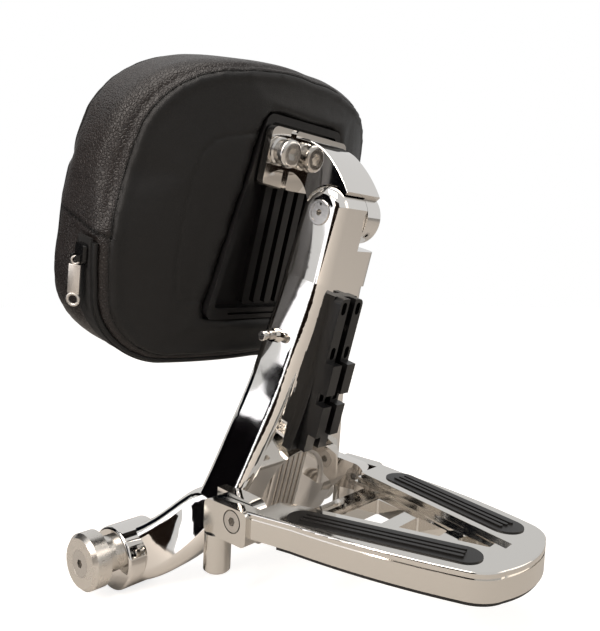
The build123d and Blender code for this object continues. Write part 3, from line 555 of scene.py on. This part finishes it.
@dataclass
class Outline:
    """The pad's outline seen from behind, across and up from the lock's axis, in millimetres."""

    corners: tuple = ((0.0, 84.0), (69.0, 76.0), (118.0, 30.0), (120.5, -76.0), (76.0, -119.0))
    bulges: tuple = ((35.0, 83.0), (101.0, 58.0), (124.4, -20.0), (107.0, -106.0))
    bottom: float = -116.0

    @staticmethod
    def arc(start: tuple, bulge: tuple, end: tuple, step: float) -> list[Vector]:
        """Points along the arc through three points, without its end.

        Args:
            start: Where it starts.
            bulge: A point it passes.
            end: Where it ends.
            step: Spacing of the points, in millimetres.

        Returns:
            The points.
        """
        a, b, c = corners = Vector(start), Vector(bulge), Vector(end)
        turn = 2 * (a.x * (b.y - c.y) + b.x * (c.y - a.y) + c.x * (a.y - b.y))
        squares = [corner.length_squared for corner in corners]
        middle = Vector((
            (squares[0] * (b.y - c.y) + squares[1] * (c.y - a.y) + squares[2] * (a.y - b.y)) / turn,
            (squares[0] * (c.x - b.x) + squares[1] * (a.x - c.x) + squares[2] * (b.x - a.x)) / turn,
        ))
        radius = (a - middle).length
        first = math.atan2(a.y - middle.y, a.x - middle.x)
        sweep_angle = math.atan2(c.y - middle.y, c.x - middle.x) - first
        sweep_angle = (sweep_angle + math.pi) % (2 * math.pi) - math.pi
        count = max(2, round(abs(sweep_angle) * radius / step))
        angles = [first + sweep_angle * i / count for i in range(count)]
        return [middle + Vector((math.cos(t), math.sin(t))) * radius for t in angles]

    def points(self, step: float) -> list[Vector]:
        """Points all round, clockwise from the top on the left side, about a step apart."""
        half: list[Vector] = []
        for start, bulge, end in zip(self.corners, self.bulges, self.corners[1:]):
            half += self.arc(start, bulge, end, step)
        last, foot = Vector(self.corners[-1]), Vector((0, self.bottom))
        count = round((foot - last).length / step)
        half += [last.lerp(foot, i / count) for i in range(count)]
        mirrored = [Vector((-p.x, p.y)) for p in reversed(half[1:])]
        return half + [foot] + mirrored

    def stations(self, step: float) -> list[tuple[Vector, Vector]]:
        """Each point with the outline's outward direction there."""
        points = self.points(step)
        found = []
        for before, here, after in zip(points[-1:] + points[:-1], points, points[1:] + points[:1]):
            run = after - before
            found.append((here, Vector((-run.y, run.x)).normalized()))
        return found


class OutlineFinder:
    """Finds how far inside the pad's outline a point lies, and which way is out there."""

    def __init__(self, outline: Outline, step: float = 2.0) -> None:
        """Files the outline's points for quick search.

        Args:
            outline: The pad's outline.
            step: Spacing of the points, in millimetres.
        """
        self.stations = outline.stations(step)
        self.tree = KDTree(len(self.stations))
        for i, (spot, _) in enumerate(self.stations):
            self.tree.insert((spot.x, spot.y, 0.0), i)
        self.tree.balance()

    def find(self, x: float, up: float) -> tuple[float, Vector]:
        """Distance inside the outline, in millimetres, and the outward direction."""
        _, i, _ = self.tree.find((x, up, 0.0))
        spot, outward = self.stations[i]
        return (spot - Vector((x, up))).dot(outward), outward


@dataclass
class Pad:
    """The sewn pad: a swollen leather cushion, its seams, and the zipper round its lower edge."""

    outline: Outline
    back: float = -45.0
    bow_radius: float = 280.0
    thickness: float = 57.0
    front_round: float = 14.0
    crisp_round: float = 5.0
    # How the sewn form differs from the plain one. A fade is where it starts and where it ends.
    easing_run: float = 18.0
    free_run: float = 50.0
    roll_reach: Span = (8.0, 20.0)
    back_inset: Span = (3.0, 7.0)
    inset_at_top: float = 0.1
    inset_fade: Span = (10.0, 48.0)
    back_set_in: Span = (1.5, 6.0)
    set_in_fade: Span = (2.0, 72.0)
    set_in_reach: float = 34.0
    corner_swell: float = 4.0
    corner_up_fade: Span = (-75.0, -45.0)
    corner_side_fade: Span = (35.0, 80.0)
    corner_edge_fade: Span = (2.0, 20.0)
    corner_rise: Span = (21.0, 32.0)
    corner_fall: Span = (40.0, 56.0)
    # The cloth.
    voxel: float = 5.0
    shrink: float = 1.6
    swell_cap: float = 3.4
    settle_frames: int = 20
    # The seams, each with its inset and depth, and what the stitching presses in or raises.
    back_seam: Span = (3.4, 1.0)
    back_seam_deg: float = 62.0
    front_seam: Span = (0.2, 44.0)
    cross_seam_up: float = -41.5
    cross_seam_rise: float = 0.2
    cross_seam_start: float = 4.0
    seam_width: float = 1.3
    back_press: float = 1.1
    front_press: float = 0.8
    cross_press: float = 1.5
    flap_rise: float = 1.1
    flap_run: float = 22.0
    roll_past: float = -4.5
    roll_width: float = 3.0
    roll_rise: float = 0.8
    valley_past: float = 6.0
    valley_width: float = 3.4
    valley_press: float = 1.1
    thread: float = 0.8
    stitch_half: Span = (0.35, 0.4)
    # The zipper.
    zip_depth: float = 14.0
    zip_half_width: float = 6.5
    zip_start: float = -44.0
    channel_press: float = 2.0
    slider_up: float = -54.5
    slider_half: float = 7.0
    tape_lift: float = 1.5
    coil_pitch: float = 1.5
    coil_size: Span = (0.5, 1.1)
    coil_aside: float = 0.7
    # How far the lip stands out, and how wide it lies.
    lip_size: Span = (3.4, 4.6)
    lip_lift: float = 0.9
    # The moulded track in the back.
    track_top: float = 52.0
    track_bottom: float = -86.0
    track_top_half: float = 37.0
    track_bottom_half: float = 57.0
    track_under: float = -57.6

    @cached_property
    def finder(self) -> OutlineFinder:
        """The search over the pad's outline."""
        return OutlineFinder(self.outline)

    def depth_of(self, x: float, rear: float) -> float:
        """How deep a point lies below the pad's bowed back, in millimetres."""
        return self.bow_radius - math.hypot(x, rear - self.back + self.bow_radius)

    def rear_at(self, x: float, depth: float) -> float:
        """How far rearward the bowed layer at a depth is, at x."""
        return self.back - self.bow_radius + math.sqrt((self.bow_radius - depth) ** 2 - x * x)

    @property
    def track_slope(self) -> float:
        """How much wider the track gets on each side, downwards."""
        return (self.track_bottom_half - self.track_top_half) / (self.track_top - self.track_bottom)

    def track_distance(self, x: float, up: float) -> float:
        """Distance outside the track's tapered outline, negative inside it, in millimetres."""
        half = self.track_top_half + self.track_slope * (self.track_top - up)
        sideways = (abs(x) - half) / math.hypot(1, self.track_slope)
        return max(sideways, up - self.track_top, self.track_bottom - up)

    def formed(self, x: float, rear: float, up: float) -> Place:
        """Moves a point of the plain cushion to its place on the sewn one.

        The front edge is crisper, the back edge rolls in to a smaller panel, the panel sits in round the
        track, and the lower corners swell. The band under the zipper stays where its tape lies.

        Args:
            x: Across, in millimetres.
            rear: Rearward of the lock's axis.
            up: Up the mast from the lock's axis.

        Returns:
            The three measures of the moved point.
        """
        inside, outward = self.finder.find(x, up)
        depth = self.depth_of(x, rear)
        start, flat = self.thickness - self.front_round, self.thickness - self.crisp_round
        easing = start - self.easing_run
        if depth > start:
            new_depth = flat + (depth - start) * self.crisp_round / self.front_round
        else:
            new_depth = depth + max(0.0, depth - easing) * (flat - start) / (start - easing)
        blend = 3 * self.front_round
        if inside < self.front_round:
            crisp = inside * self.crisp_round / self.front_round
        else:
            share = min(1.0, (inside - self.front_round) / (blend - self.front_round))
            crisp = inside - (self.front_round - self.crisp_round) * (1 - share)
        crisp = inside + (crisp - inside) * smoothstep(easing, start, depth)
        free = smoothstep(self.zip_start - 2, self.zip_start + self.free_run, up)
        spans = (self.roll_reach, self.back_inset, self.back_set_in)
        reach, inset, set_in = (low + (high - low) * free for low, high in spans)
        rolled = inset * (1 - smoothstep(0, reach, depth)) * (1 - smoothstep(*self.inset_fade, inside))
        rolled *= self.inset_at_top + (1 - self.inset_at_top) * abs(outward.x)
        set_in *= 1 - smoothstep(0, self.set_in_reach, depth)
        set_in *= smoothstep(*self.set_in_fade, self.track_distance(x, up))
        swell = (1 - smoothstep(*self.corner_up_fade, up)) * smoothstep(*self.corner_side_fade, abs(x))
        swell *= smoothstep(*self.corner_rise, depth) * (1 - smoothstep(*self.corner_fall, depth))
        swell *= self.corner_swell * (1 - smoothstep(*self.corner_edge_fade, inside))
        out = inside - crisp - rolled + swell
        return x + outward.x * out, rear + depth - new_depth - set_in, up + outward.y * out

    def start_mesh(self) -> Object:
        """A welded copy of the CAD cushion, drawn in a little away from the track's pocket."""
        shape = bmesh.new()
        shape.from_mesh(frame["nodes"]["pad_cushion"].data)
        bmesh.ops.remove_doubles(shape, verts=shape.verts, dist=0.00001)
        mesh = bpy.data.meshes.new("pad_start")
        shape.to_mesh(mesh)
        shape.free()
        piece = object_of("pad_leather_cushion", mesh)
        remesh = piece.modifiers.new("voxels", "REMESH")
        remesh.mode = "VOXEL"
        remesh.voxel_size = self.voxel * MM
        apply_modifiers(piece)
        mesh = piece.data
        normals = [vert.normal.copy() for vert in mesh.vertices]
        past_back, before_front = [], []
        for vert, normal in zip(mesh.vertices, normals):
            x, rear, up = MAST.read(vert.co)
            inside, _ = self.finder.find(x, up)
            depth = self.depth_of(x, rear)
            past_back.append(depth - inside)
            before_front.append(depth + inside)
            loose = smoothstep(4, 16, self.track_distance(x, up)) * self.away_from_zip(depth, up)
            vert.co = MAST.point(*self.formed(x, rear, up)) - normal * self.shrink * MM * loose
        write_attribute(mesh, "over_back", past_back)
        write_attribute(mesh, "over_front", before_front)
        return piece

    def away_from_zip(self, depth: float, up: float) -> float:
        """0 under the zipper's tape, 1 away from it."""
        beside = smoothstep(self.zip_half_width, self.zip_half_width + 6, abs(depth - self.zip_depth))
        return max(beside, smoothstep(self.zip_start, self.zip_start + 10, up))

    def swell(self, piece: Object) -> None:
        """Blows the cushion up as cloth, held at the track's pocket, and caps how far it moves."""
        group = piece.vertex_groups.new(name="held")
        start = [vert.co.copy() for vert in piece.data.vertices]
        for vert in piece.data.vertices:
            x, rear, up = MAST.read(vert.co)
            loose = smoothstep(3, 18, self.track_distance(x, up))
            loose *= self.away_from_zip(self.depth_of(x, rear), up)
            group.add([vert.index], 1.0 - loose, "REPLACE")
        cloth = piece.modifiers.new("leather", "CLOTH")
        for setting, value in LEATHER_CLOTH.items():
            setattr(cloth.settings, setting, value)
        cloth.settings.effector_weights.gravity = 0.0
        cloth.collision_settings.use_collision = False
        for step in range(self.settle_frames):
            bpy.context.scene.frame_set(step + 1)
        swollen = evaluated_mesh(piece)
        piece.modifiers.clear()
        for vert, before, after in zip(piece.data.vertices, start, swollen.vertices):
            move = after.co - before
            if move.length > self.swell_cap * MM:
                move = move.normalized() * self.swell_cap * MM
            vert.co = before + move
        bpy.context.scene.frame_set(1)

    def sew(self, piece: Object) -> None:
        """Presses the seams in, lays the zipper's channel, and marks the boxing and the seams."""
        mesh = piece.data
        over_back = [value.value for value in mesh.attributes["over_back"].data]
        over_front = [value.value for value in mesh.attributes["over_front"].data]
        boxing: list[float] = []
        sewn: list[float] = []
        back_line = self.back_seam[1] - self.back_seam[0]
        front_line = self.front_seam[1] + self.front_seam[0]
        normals = [vert.normal.copy() for vert in mesh.vertices]
        for vert, normal, past_back, before_front in zip(mesh.vertices, normals, over_back, over_front):
            x, rear, up = MAST.read(vert.co)
            depth = self.depth_of(x, rear)
            outer = smoothstep(10, 18, self.track_distance(x, up))
            past, before = past_back - back_line, before_front - front_line
            back = hump(past, self.seam_width) * outer
            front = hump(before, self.seam_width)
            on_boxing = smoothstep(-0.5, 0.5, past) * smoothstep(0.5, -0.5, before) * outer
            valley = hump(past - self.valley_past, self.valley_width) * outer
            roll = hump(past - self.roll_past, self.roll_width) * outer
            cross_gap = up - self.cross_seam_up - self.cross_seam_rise * (depth - 5.0)
            cross = hump(cross_gap, self.seam_width) * on_boxing
            flap = smoothstep(-0.6, 0.6, cross_gap) - smoothstep(0, self.flap_run, cross_gap)
            channel = 0.0
            if up < self.zip_start + 3:
                across = abs(depth - self.zip_depth)
                channel = 1 - smoothstep(self.zip_half_width - 2.0, self.zip_half_width + 1.5, across)
                channel *= smoothstep(0, 4, self.zip_start + 3 - up)
            valley *= smoothstep(self.zip_start, self.zip_start + 20, up)
            push = self.flap_rise * on_boxing * flap + self.roll_rise * roll - self.back_press * back
            push -= self.front_press * front + self.cross_press * cross
            push -= self.valley_press * valley + self.channel_press * channel
            vert.co += normal * push * MM
            boxing.append(on_boxing)
            # The seam mark puckers the leather and also paints shade along the seams.
            sewn.append(min(1.0, 0.95 * max(back, cross, front)))
            self.clear_of_track(vert)
        write_attribute(mesh, "boxing", boxing)
        write_attribute(mesh, "sewn", sewn)

    def clear_of_track(self, vert: MeshVertex) -> None:
        """Keeps a point of the leather out of the moulded track and the room under its rim."""
        x, rear, up = MAST.read(vert.co)
        gap = self.track_distance(x, up)
        if gap < 0.5 and rear > self.track_under - 3:
            if gap < -6:
                vert.co = MAST.point(x, min(rear, self.track_under), up)
            else:
                out = 0.5 - gap
                if up > self.track_top - 6 and abs(x) < self.track_top_half:
                    vert.co = MAST.point(x, rear, up + out)
                elif up < self.track_bottom + 6 and abs(x) < self.track_bottom_half - 2:
                    vert.co = MAST.point(x, rear, up - out)
                else:
                    aside = out * math.hypot(1, self.track_slope)
                    vert.co = MAST.point(x + math.copysign(aside, x), rear, up)

    def cushion(self, leather: Material) -> Object:
        """Builds the cushion and stands it for the CAD one."""
        piece = self.start_mesh()
        self.swell(piece)
        smooth = piece.modifiers.new("rounding", "SUBSURF")
        smooth.levels = smooth.render_levels = 2
        apply_modifiers(piece)
        self.sew(piece)
        piece.data.shade_smooth()
        piece.vertex_groups.clear()
        dress(piece, leather, "pad")
        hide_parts("pad_cushion")
        return piece

    def traced(self, tree: BVHTree, seam: Span, step: float, lift: float,
               turn_deg: float) -> list[tuple[Vector, Vector]]:
        """Follows a line round the cushion's edge.

        Args:
            tree: The cushion's surface.
            seam: How far inside the outline and below the bowed back the line lies, in millimetres.
            step: Spacing along the outline.
            lift: How far above the surface the line lies.
            turn_deg: Which way the surface faces there, from outward round to the rear.

        Returns:
            Place and facing direction for each station.
        """
        inside, depth = seam
        turn = math.radians(turn_deg)
        found = []
        for spot, outward in self.outline.stations(step):
            flat = spot - outward * inside
            out = Vector((outward.x, 0, 0)) + MAST.up * outward.y
            facing = out * math.cos(turn) + MAST.rear * math.sin(turn)
            guess = MAST.point(*self.formed(flat.x, self.rear_at(flat.x, depth), flat.y))
            hit = tree.ray_cast(guess + facing * 0.02, -facing, 0.04)[0]
            if hit is not None:
                found.append((hit + facing * lift * MM, facing))
        return found

    def seam_thread(
        self, tree: BVHTree, name: str, seam: Span, turn_deg: float
    ) -> Object:
        """A closed run of thread in a seam's groove."""
        line = self.traced(tree, seam, 3.0, -0.25, turn_deg)
        frames = [
            frame_at(place, out, line[(i + 1) % len(line)][0] - line[i - 1][0])
            for i, (place, out) in enumerate(line)
        ]
        return finish_mesh(name, sweep(frames, self.thread, self.thread, 6, True), 60)

    def stitch(self, shape: BMesh, place: Matrix, length: float) -> None:
        """Adds one stitch lying along the place's Z."""
        size = Matrix.Diagonal((self.stitch_half[0] * MM, self.stitch_half[1] * MM, length * MM / 2, 1))
        bmesh.ops.create_icosphere(shape, subdivisions=1, radius=1.0, matrix=place @ size)

    def seam_stitches(self, tree: BVHTree, pitch: float, length: float) -> Object:
        """Short stitches that cross the back seam's groove, a pitch apart."""
        shape = bmesh.new()
        line = self.traced(tree, self.back_seam, pitch, -0.1, self.back_seam_deg)
        for i, (place, out) in enumerate(line):
            self.stitch(shape, frame_at(place, out, line[(i + 1) % len(line)][0] - place), length)
        return finish_mesh("back_seam_stitches", shape, 60)

    def cross_seams(self, tree: BVHTree, pitch: float = 2.6) -> Object:
        """The short sewn lines across the boxing where the zipper's band begins, one each side."""
        shape = bmesh.new()
        first, last = self.cross_seam_start, self.thickness - self.crisp_round
        count = round((last - first) / pitch)
        for side in (1, -1):
            for i in range(count):
                depth = first + (last - first) * i / (count - 1)
                up = self.cross_seam_up + self.cross_seam_rise * (depth - 5.0)
                guess = MAST.point(side * 150, self.rear_at(115, depth), up)
                out = Vector((side, 0, 0))
                hit = tree.ray_cast(guess, -out, 0.08)[0]
                if hit is not None:
                    self.stitch(shape, frame_at(hit, out, MAST.rear), 1.3 * pitch)
        return finish_mesh("cross_seam_stitches", shape, 60)

    def zip_line(self, tree: BVHTree, step: float, offset: float, lift: float) -> list[Matrix]:
        """Frames along the zipper's band, X outward and Z along it.

        Args:
            tree: The cushion's surface.
            step: Spacing along the outline, in millimetres.
            offset: How far rearward of the band's middle.
            lift: How far outside the leather.

        Returns:
            The frames, from the slider round the lower edge to the far end.
        """
        places = []
        for spot, outward in self.outline.stations(step):
            if spot.y > self.zip_start - 1.5:
                continue
            out = Vector((outward.x, 0, 0)) + MAST.up * outward.y
            base = MAST.point(spot.x, self.rear_at(spot.x, self.zip_depth - offset), spot.y)
            hit = tree.ray_cast(base + out * 0.015, -out, 0.03)[0]
            places.append((max((hit or base), base - out * 0.002, key=out.dot) + out * lift * MM, out))
        frames = []
        for i, (place, out) in enumerate(places):
            along = places[min(i + 1, len(places) - 1)][0] - places[max(i - 1, 0)][0]
            frames.append(frame_at(place, out, along))
        return frames

    def zipper_coil(self, tree: BVHTree) -> Object:
        """The chain of interlocked nylon coils from below the slider to the far end."""
        shape = bmesh.new()
        thick, wide = self.coil_size
        size = Matrix.Diagonal((thick * MM, wide * MM, thick * MM, 1))
        for i, place in enumerate(self.zip_line(tree, self.coil_pitch, 0.0, 0.0)):
            x, _, up = MAST.read(place.translation)
            if x > 0 and up > self.slider_up - self.slider_half:
                continue
            aside = self.coil_aside if i % 2 else -self.coil_aside
            shift = Matrix.Translation((self.tape_lift * MM, aside * MM, 0))
            bmesh.ops.create_icosphere(shape, subdivisions=1, radius=1.0, matrix=place @ shift @ size)
        return finish_mesh("zipper_coil", shape, 60)

    def zipper_lip(self, tree: BVHTree, name: str, offset: float) -> Object:
        """One of the two folded leather lips that half cover the zipper's tape."""
        frames = self.zip_line(tree, 3.0, offset, self.lip_lift)
        return finish_mesh(name, sweep(frames, *self.lip_size, 12, False), 50)

    def build(self) -> None:
        """Makes the cushion, then lays its seams and zipper on it."""
        leather, thread = Surface.LEATHER.value.build(), Surface.THREAD.value.build()
        cushion = self.cushion(leather)
        tree = BVHTree.FromObject(cushion, bpy.context.evaluated_depsgraph_get())
        for line in (
            self.seam_thread(tree, "back_seam", self.back_seam, self.back_seam_deg),
            self.seam_thread(tree, "front_seam", self.front_seam, 0),
            self.seam_stitches(tree, 3.2, 2.3),
            self.cross_seams(tree),
        ):
            dress(line, thread, "pad")
        dress(self.zipper_coil(tree), thread, "pad")
        folded = Surface.LIP.value.build()
        for name, side in (("zipper_lip_rear", 1), ("zipper_lip_front", -1)):
            dress(self.zipper_lip(tree, name, side * self.zip_half_width), folded, "pad")


@dataclass
class ZipperPull:
    """The cast pull: an eye on the slider's pin, a bar, and a ring to hook a finger or cord in."""

    pin: Place = (130.12, 14.53, 193.63)
    tilt_deg: float = 5.341
    length: float = 31.0
    bar_top: float = 4.2
    bar_width: float = 7.6
    thickness: float = 1.6
    ring_radius: float = 3.6
    ring_wire: float = 1.0
    eye_middle: float = 1.6
    eye_radius: float = 2.3
    eye_wire: float = 0.7
    turned_deg: float = -36.0

    def build(self) -> None:
        """Makes the pull hanging from its pin and stands it for the CAD one."""
        tilt = math.radians(self.tilt_deg)
        outward = Vector((math.cos(tilt), 0, 0)) - MAST.up * math.sin(tilt)
        down = outward.cross(MAST.rear).normalized()
        if down.z > 0:
            down = -down
        base = frame_at(Vector(self.pin) * MM, MAST.rear, down)
        base = base @ Matrix.Rotation(math.radians(self.turned_deg), 4, "Z")
        shape = bmesh.new()
        ring_middle = self.length - self.ring_radius - self.ring_wire
        bar_end = ring_middle - self.ring_radius
        bar = Matrix.Translation((0, 0, (self.bar_top + bar_end) / 2 * MM)) @ Matrix.Diagonal(
            (self.bar_width * MM, self.thickness * MM, (bar_end - self.bar_top) * MM, 1)
        )
        made = bmesh.ops.create_cube(shape, size=1.0, matrix=base @ bar)
        edges = list({edge for vert in made["verts"] for edge in vert.link_edges})
        bmesh.ops.bevel(
            shape, geom=edges, offset=0.5 * MM, segments=2, profile=0.5, affect="EDGES", material=-1
        )
        for middle, radius, wire in (
            (ring_middle, self.ring_radius, self.ring_wire),
            (self.eye_middle, self.eye_radius, self.eye_wire),
        ):
            self.ring(shape, base @ Matrix.Translation((0, 0, middle * MM)), radius, wire)
        bmesh.ops.recalc_face_normals(shape, faces=shape.faces)
        piece = finish_mesh("zipper_pull_cast", shape, 40)
        dress(piece, Surface.PULL.value.build(), "pull")
        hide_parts("zipper_pull")

    @staticmethod
    def ring(shape: BMesh, place: Matrix, radius: float, wire: float) -> None:
        """Adds a round ring of wire, lying in the place's X and Z."""
        start = place @ Matrix.Translation((radius * MM, 0, 0))
        section = bmesh.ops.create_circle(
            shape, cap_ends=False, segments=10, radius=wire * MM, matrix=start
        )
        edges = list({edge for vert in section["verts"] for edge in vert.link_edges})
        bmesh.ops.spin(
            shape, geom=section["verts"] + edges, cent=place.translation,
            axis=(place.to_3x3() @ Vector((0, 1, 0))), angle=2 * math.pi, steps=28, use_merge=True,
            use_duplicate=False,
        )


@dataclass
class Metalwork:
    """The castings, fittings and rubber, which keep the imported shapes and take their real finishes."""

    sewn_slots: tuple[str, ...] = ("pad_leather",)

    def build(self) -> None:
        """Finishes every rigid CAD node by its material slot."""
        made: dict[str, Material] = {}
        for part in frame["record"]["subparts"]:
            node, slot = part["node"], part["material_slot"]
            if slot in self.sewn_slots:
                continue
            if slot not in made:
                made[slot] = FINISH_OF_SLOT[slot].value.build()
            coat(frame["nodes"][node], made[slot])
            log.info("%s keeps its shape and becomes %s", node, made[slot].name)


@dataclass
class Studio:
    """The plain studio: floor, soft lights, cards that give the chrome its contrast, and the camera."""

    camera_place: Place = (0.3377, 0.3713, 0.1757)
    camera_azimuth: float = 130.78
    camera_drop: float = 2.478
    lens: float = 37.04
    floor_z: float = -0.0256
    floor_glow: float = 0.78
    light_level: float = 0.45
    gloss_level: float = 0.74
    middle: Place = (0.0, 0.06, 0.15)
    # Name, place, size, watts and tint.
    softboxes: tuple = (
        ("top_softbox", (0.6, 0.2, 1.5), 0.9, 13, "#fff8f0"),
        ("side_softbox", (1.5, 0.15, 0.95), 0.6, 19, "#fff4ea"),
        ("rear_softbox", (-0.9, 1.2, 0.8), 0.8, 3, "#fff1e2"),
    )
    # Name, azimuth, distance, width, lower and upper edge, tint and glow.
    flags: tuple = (
        ("left_low_flag", 50, 0.33, 0.38, -0.02, 0.160, "#0c0a0d", 0.0),
        ("left_front_flag", 33, 0.33, 0.25, 0.160, 0.27, "#0f141c", 0.0),
        ("left_high_flag", 50, 0.33, 0.38, 0.268, 0.46, "#0b0a0e", 0.0),
        ("left_reflector", 72, 1.1, 0.7, 0.0, 0.75, "#f4f7ff", 0.95),
        ("camera_flag", 114.5, 1.0, 0.75, -0.02, 0.85, "#1f1814", 0.0),
    )

    def camera(self) -> None:
        """Stands the camera where the photograph was taken."""
        data = bpy.data.cameras.new("camera")
        data.lens = self.lens
        data.sensor_width = 36.0
        data.clip_start = 0.01
        data.dof.use_dof = False
        camera = object_of("camera", data)
        camera.location = self.camera_place
        pitch, turn = math.radians(90 - self.camera_drop), math.radians(self.camera_azimuth)
        camera.rotation_euler = (pitch, 0, turn)
        bpy.context.scene.camera = camera

    def floor(self) -> None:
        """Lays a plain white floor under the feet."""
        shape = bmesh.new()
        bmesh.ops.create_grid(
            shape, x_segments=1, y_segments=1, size=6.0, matrix=Matrix.Translation((0, 0, self.floor_z))
        )
        piece = finish_mesh("floor", shape)
        material, tree, shader = new_material("white_paper_floor")
        seen = add_node(tree, "LightPath").outputs["Is Camera Ray"]
        glow = add_node(tree, "Math", {0: seen, 1: self.floor_glow}, operation="MULTIPLY")
        feed(tree, shader, {
            "Base Color": srgb("#c2bdb7"), "Roughness": 0.9, "Emission Color": (1, 1, 1, 1),
            "Emission Strength": glow,
        })
        coat(piece, material)

    def world(self) -> None:
        """White to the camera and through glass, a dimmer level to gloss, and a soft level for light."""
        world = bpy.data.worlds.new("studio")
        world.use_nodes = True
        tree = world.node_tree
        tree.nodes.clear()
        path = add_node(tree, "LightPath").outputs
        seen = add_node(
            tree, "Math", {0: path["Is Camera Ray"], 1: path["Is Transmission Ray"]}, operation="MAXIMUM"
        )
        plain = add_node(
            tree, "Math",
            {0: path["Is Glossy Ray"], 1: self.gloss_level - self.light_level, 2: self.light_level},
            operation="MULTIPLY_ADD",
        )
        strength = add_node(tree, "Math", {0: seen, 1: plain}, operation="MAXIMUM")
        background = add_node(tree, "Background", {"Color": (1.0, 1.0, 1.0, 1.0), "Strength": strength})
        add_node(tree, "OutputWorld", {"Surface": background})
        bpy.context.scene.world = world

    def softbox(self, name: str, place: tuple, size: float, watts: float, tint: str) -> None:
        """Hangs a square soft light that faces the object."""
        data = bpy.data.lights.new(name, "AREA")
        data.shape = "SQUARE"
        data.size = size
        data.energy = watts
        data.color = srgb(tint)[:3]
        light = object_of(name, data)
        light.location = place
        aim = Vector(self.middle) - Vector(place)
        light.rotation_euler = aim.to_track_quat("-Z", "Y").to_euler()

    def flag(self, name: str, azimuth: float, distance: float, width: float, low: float, high: float,
             tint: str, glow: float) -> None:
        """Stands a card round the object that only gloss sees: dark, or white and lit if it glows.

        Args:
            name: The card's name.
            azimuth: Which way it stands from the object, in degrees, as the views count it.
            distance: How far away, in metres.
            width: Its width.
            low: Height of its lower edge.
            high: Height of its upper edge.
            tint: Its colour.
            glow: How brightly it shines.
        """
        turn = math.radians(azimuth)
        out = Vector((math.sin(turn), -math.cos(turn), 0))
        place = Vector((self.middle[0], self.middle[1], (low + high) / 2)) + out * distance
        side = Vector((math.cos(turn), math.sin(turn), 0))
        card = Matrix((side, Vector((0, 0, 1)), out)).transposed().to_4x4()
        shape = bmesh.new()
        bmesh.ops.create_grid(
            shape, x_segments=1, y_segments=1, size=0.5,
            matrix=Matrix.Translation(place) @ card @ Matrix.Diagonal((width, high - low, 1, 1)),
        )
        piece = finish_mesh(name, shape)
        material, tree, shader = new_material(f"{name}_felt")
        feed(tree, shader, {
            "Base Color": srgb(tint), "Roughness": 0.95, "Specular IOR Level": 0.0,
            "Emission Color": srgb(tint), "Emission Strength": glow,
        })
        coat(piece, material)
        piece.visible_camera = False
        piece.visible_diffuse = False
        piece.visible_shadow = False

    def build(self) -> None:
        """Sets the whole studio up."""
        bpy.context.scene.view_settings.view_transform = "Standard"
        self.camera()
        self.floor()
        self.world()
        for box in self.softboxes:
            self.softbox(*box)
        for card in self.flags:
            self.flag(*card)


def write_sizes() -> None:
    """Defines a helper that turns a box's corners into plain lists, and does nothing more."""

    def plain(box: object) -> list:
        return [[float(value) for value in corner] for corner in box]


def main() -> None:
    """Builds the studio, the metalwork and the pad in order."""
    logging.basicConfig(level=logging.INFO, format="%(name)s: %(message)s")
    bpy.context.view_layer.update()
    Studio().build()
    Metalwork().build()
    Pad(Outline()).build()
    ZipperPull().build()
    write_sizes()


if __name__ == "__main__":
    main()
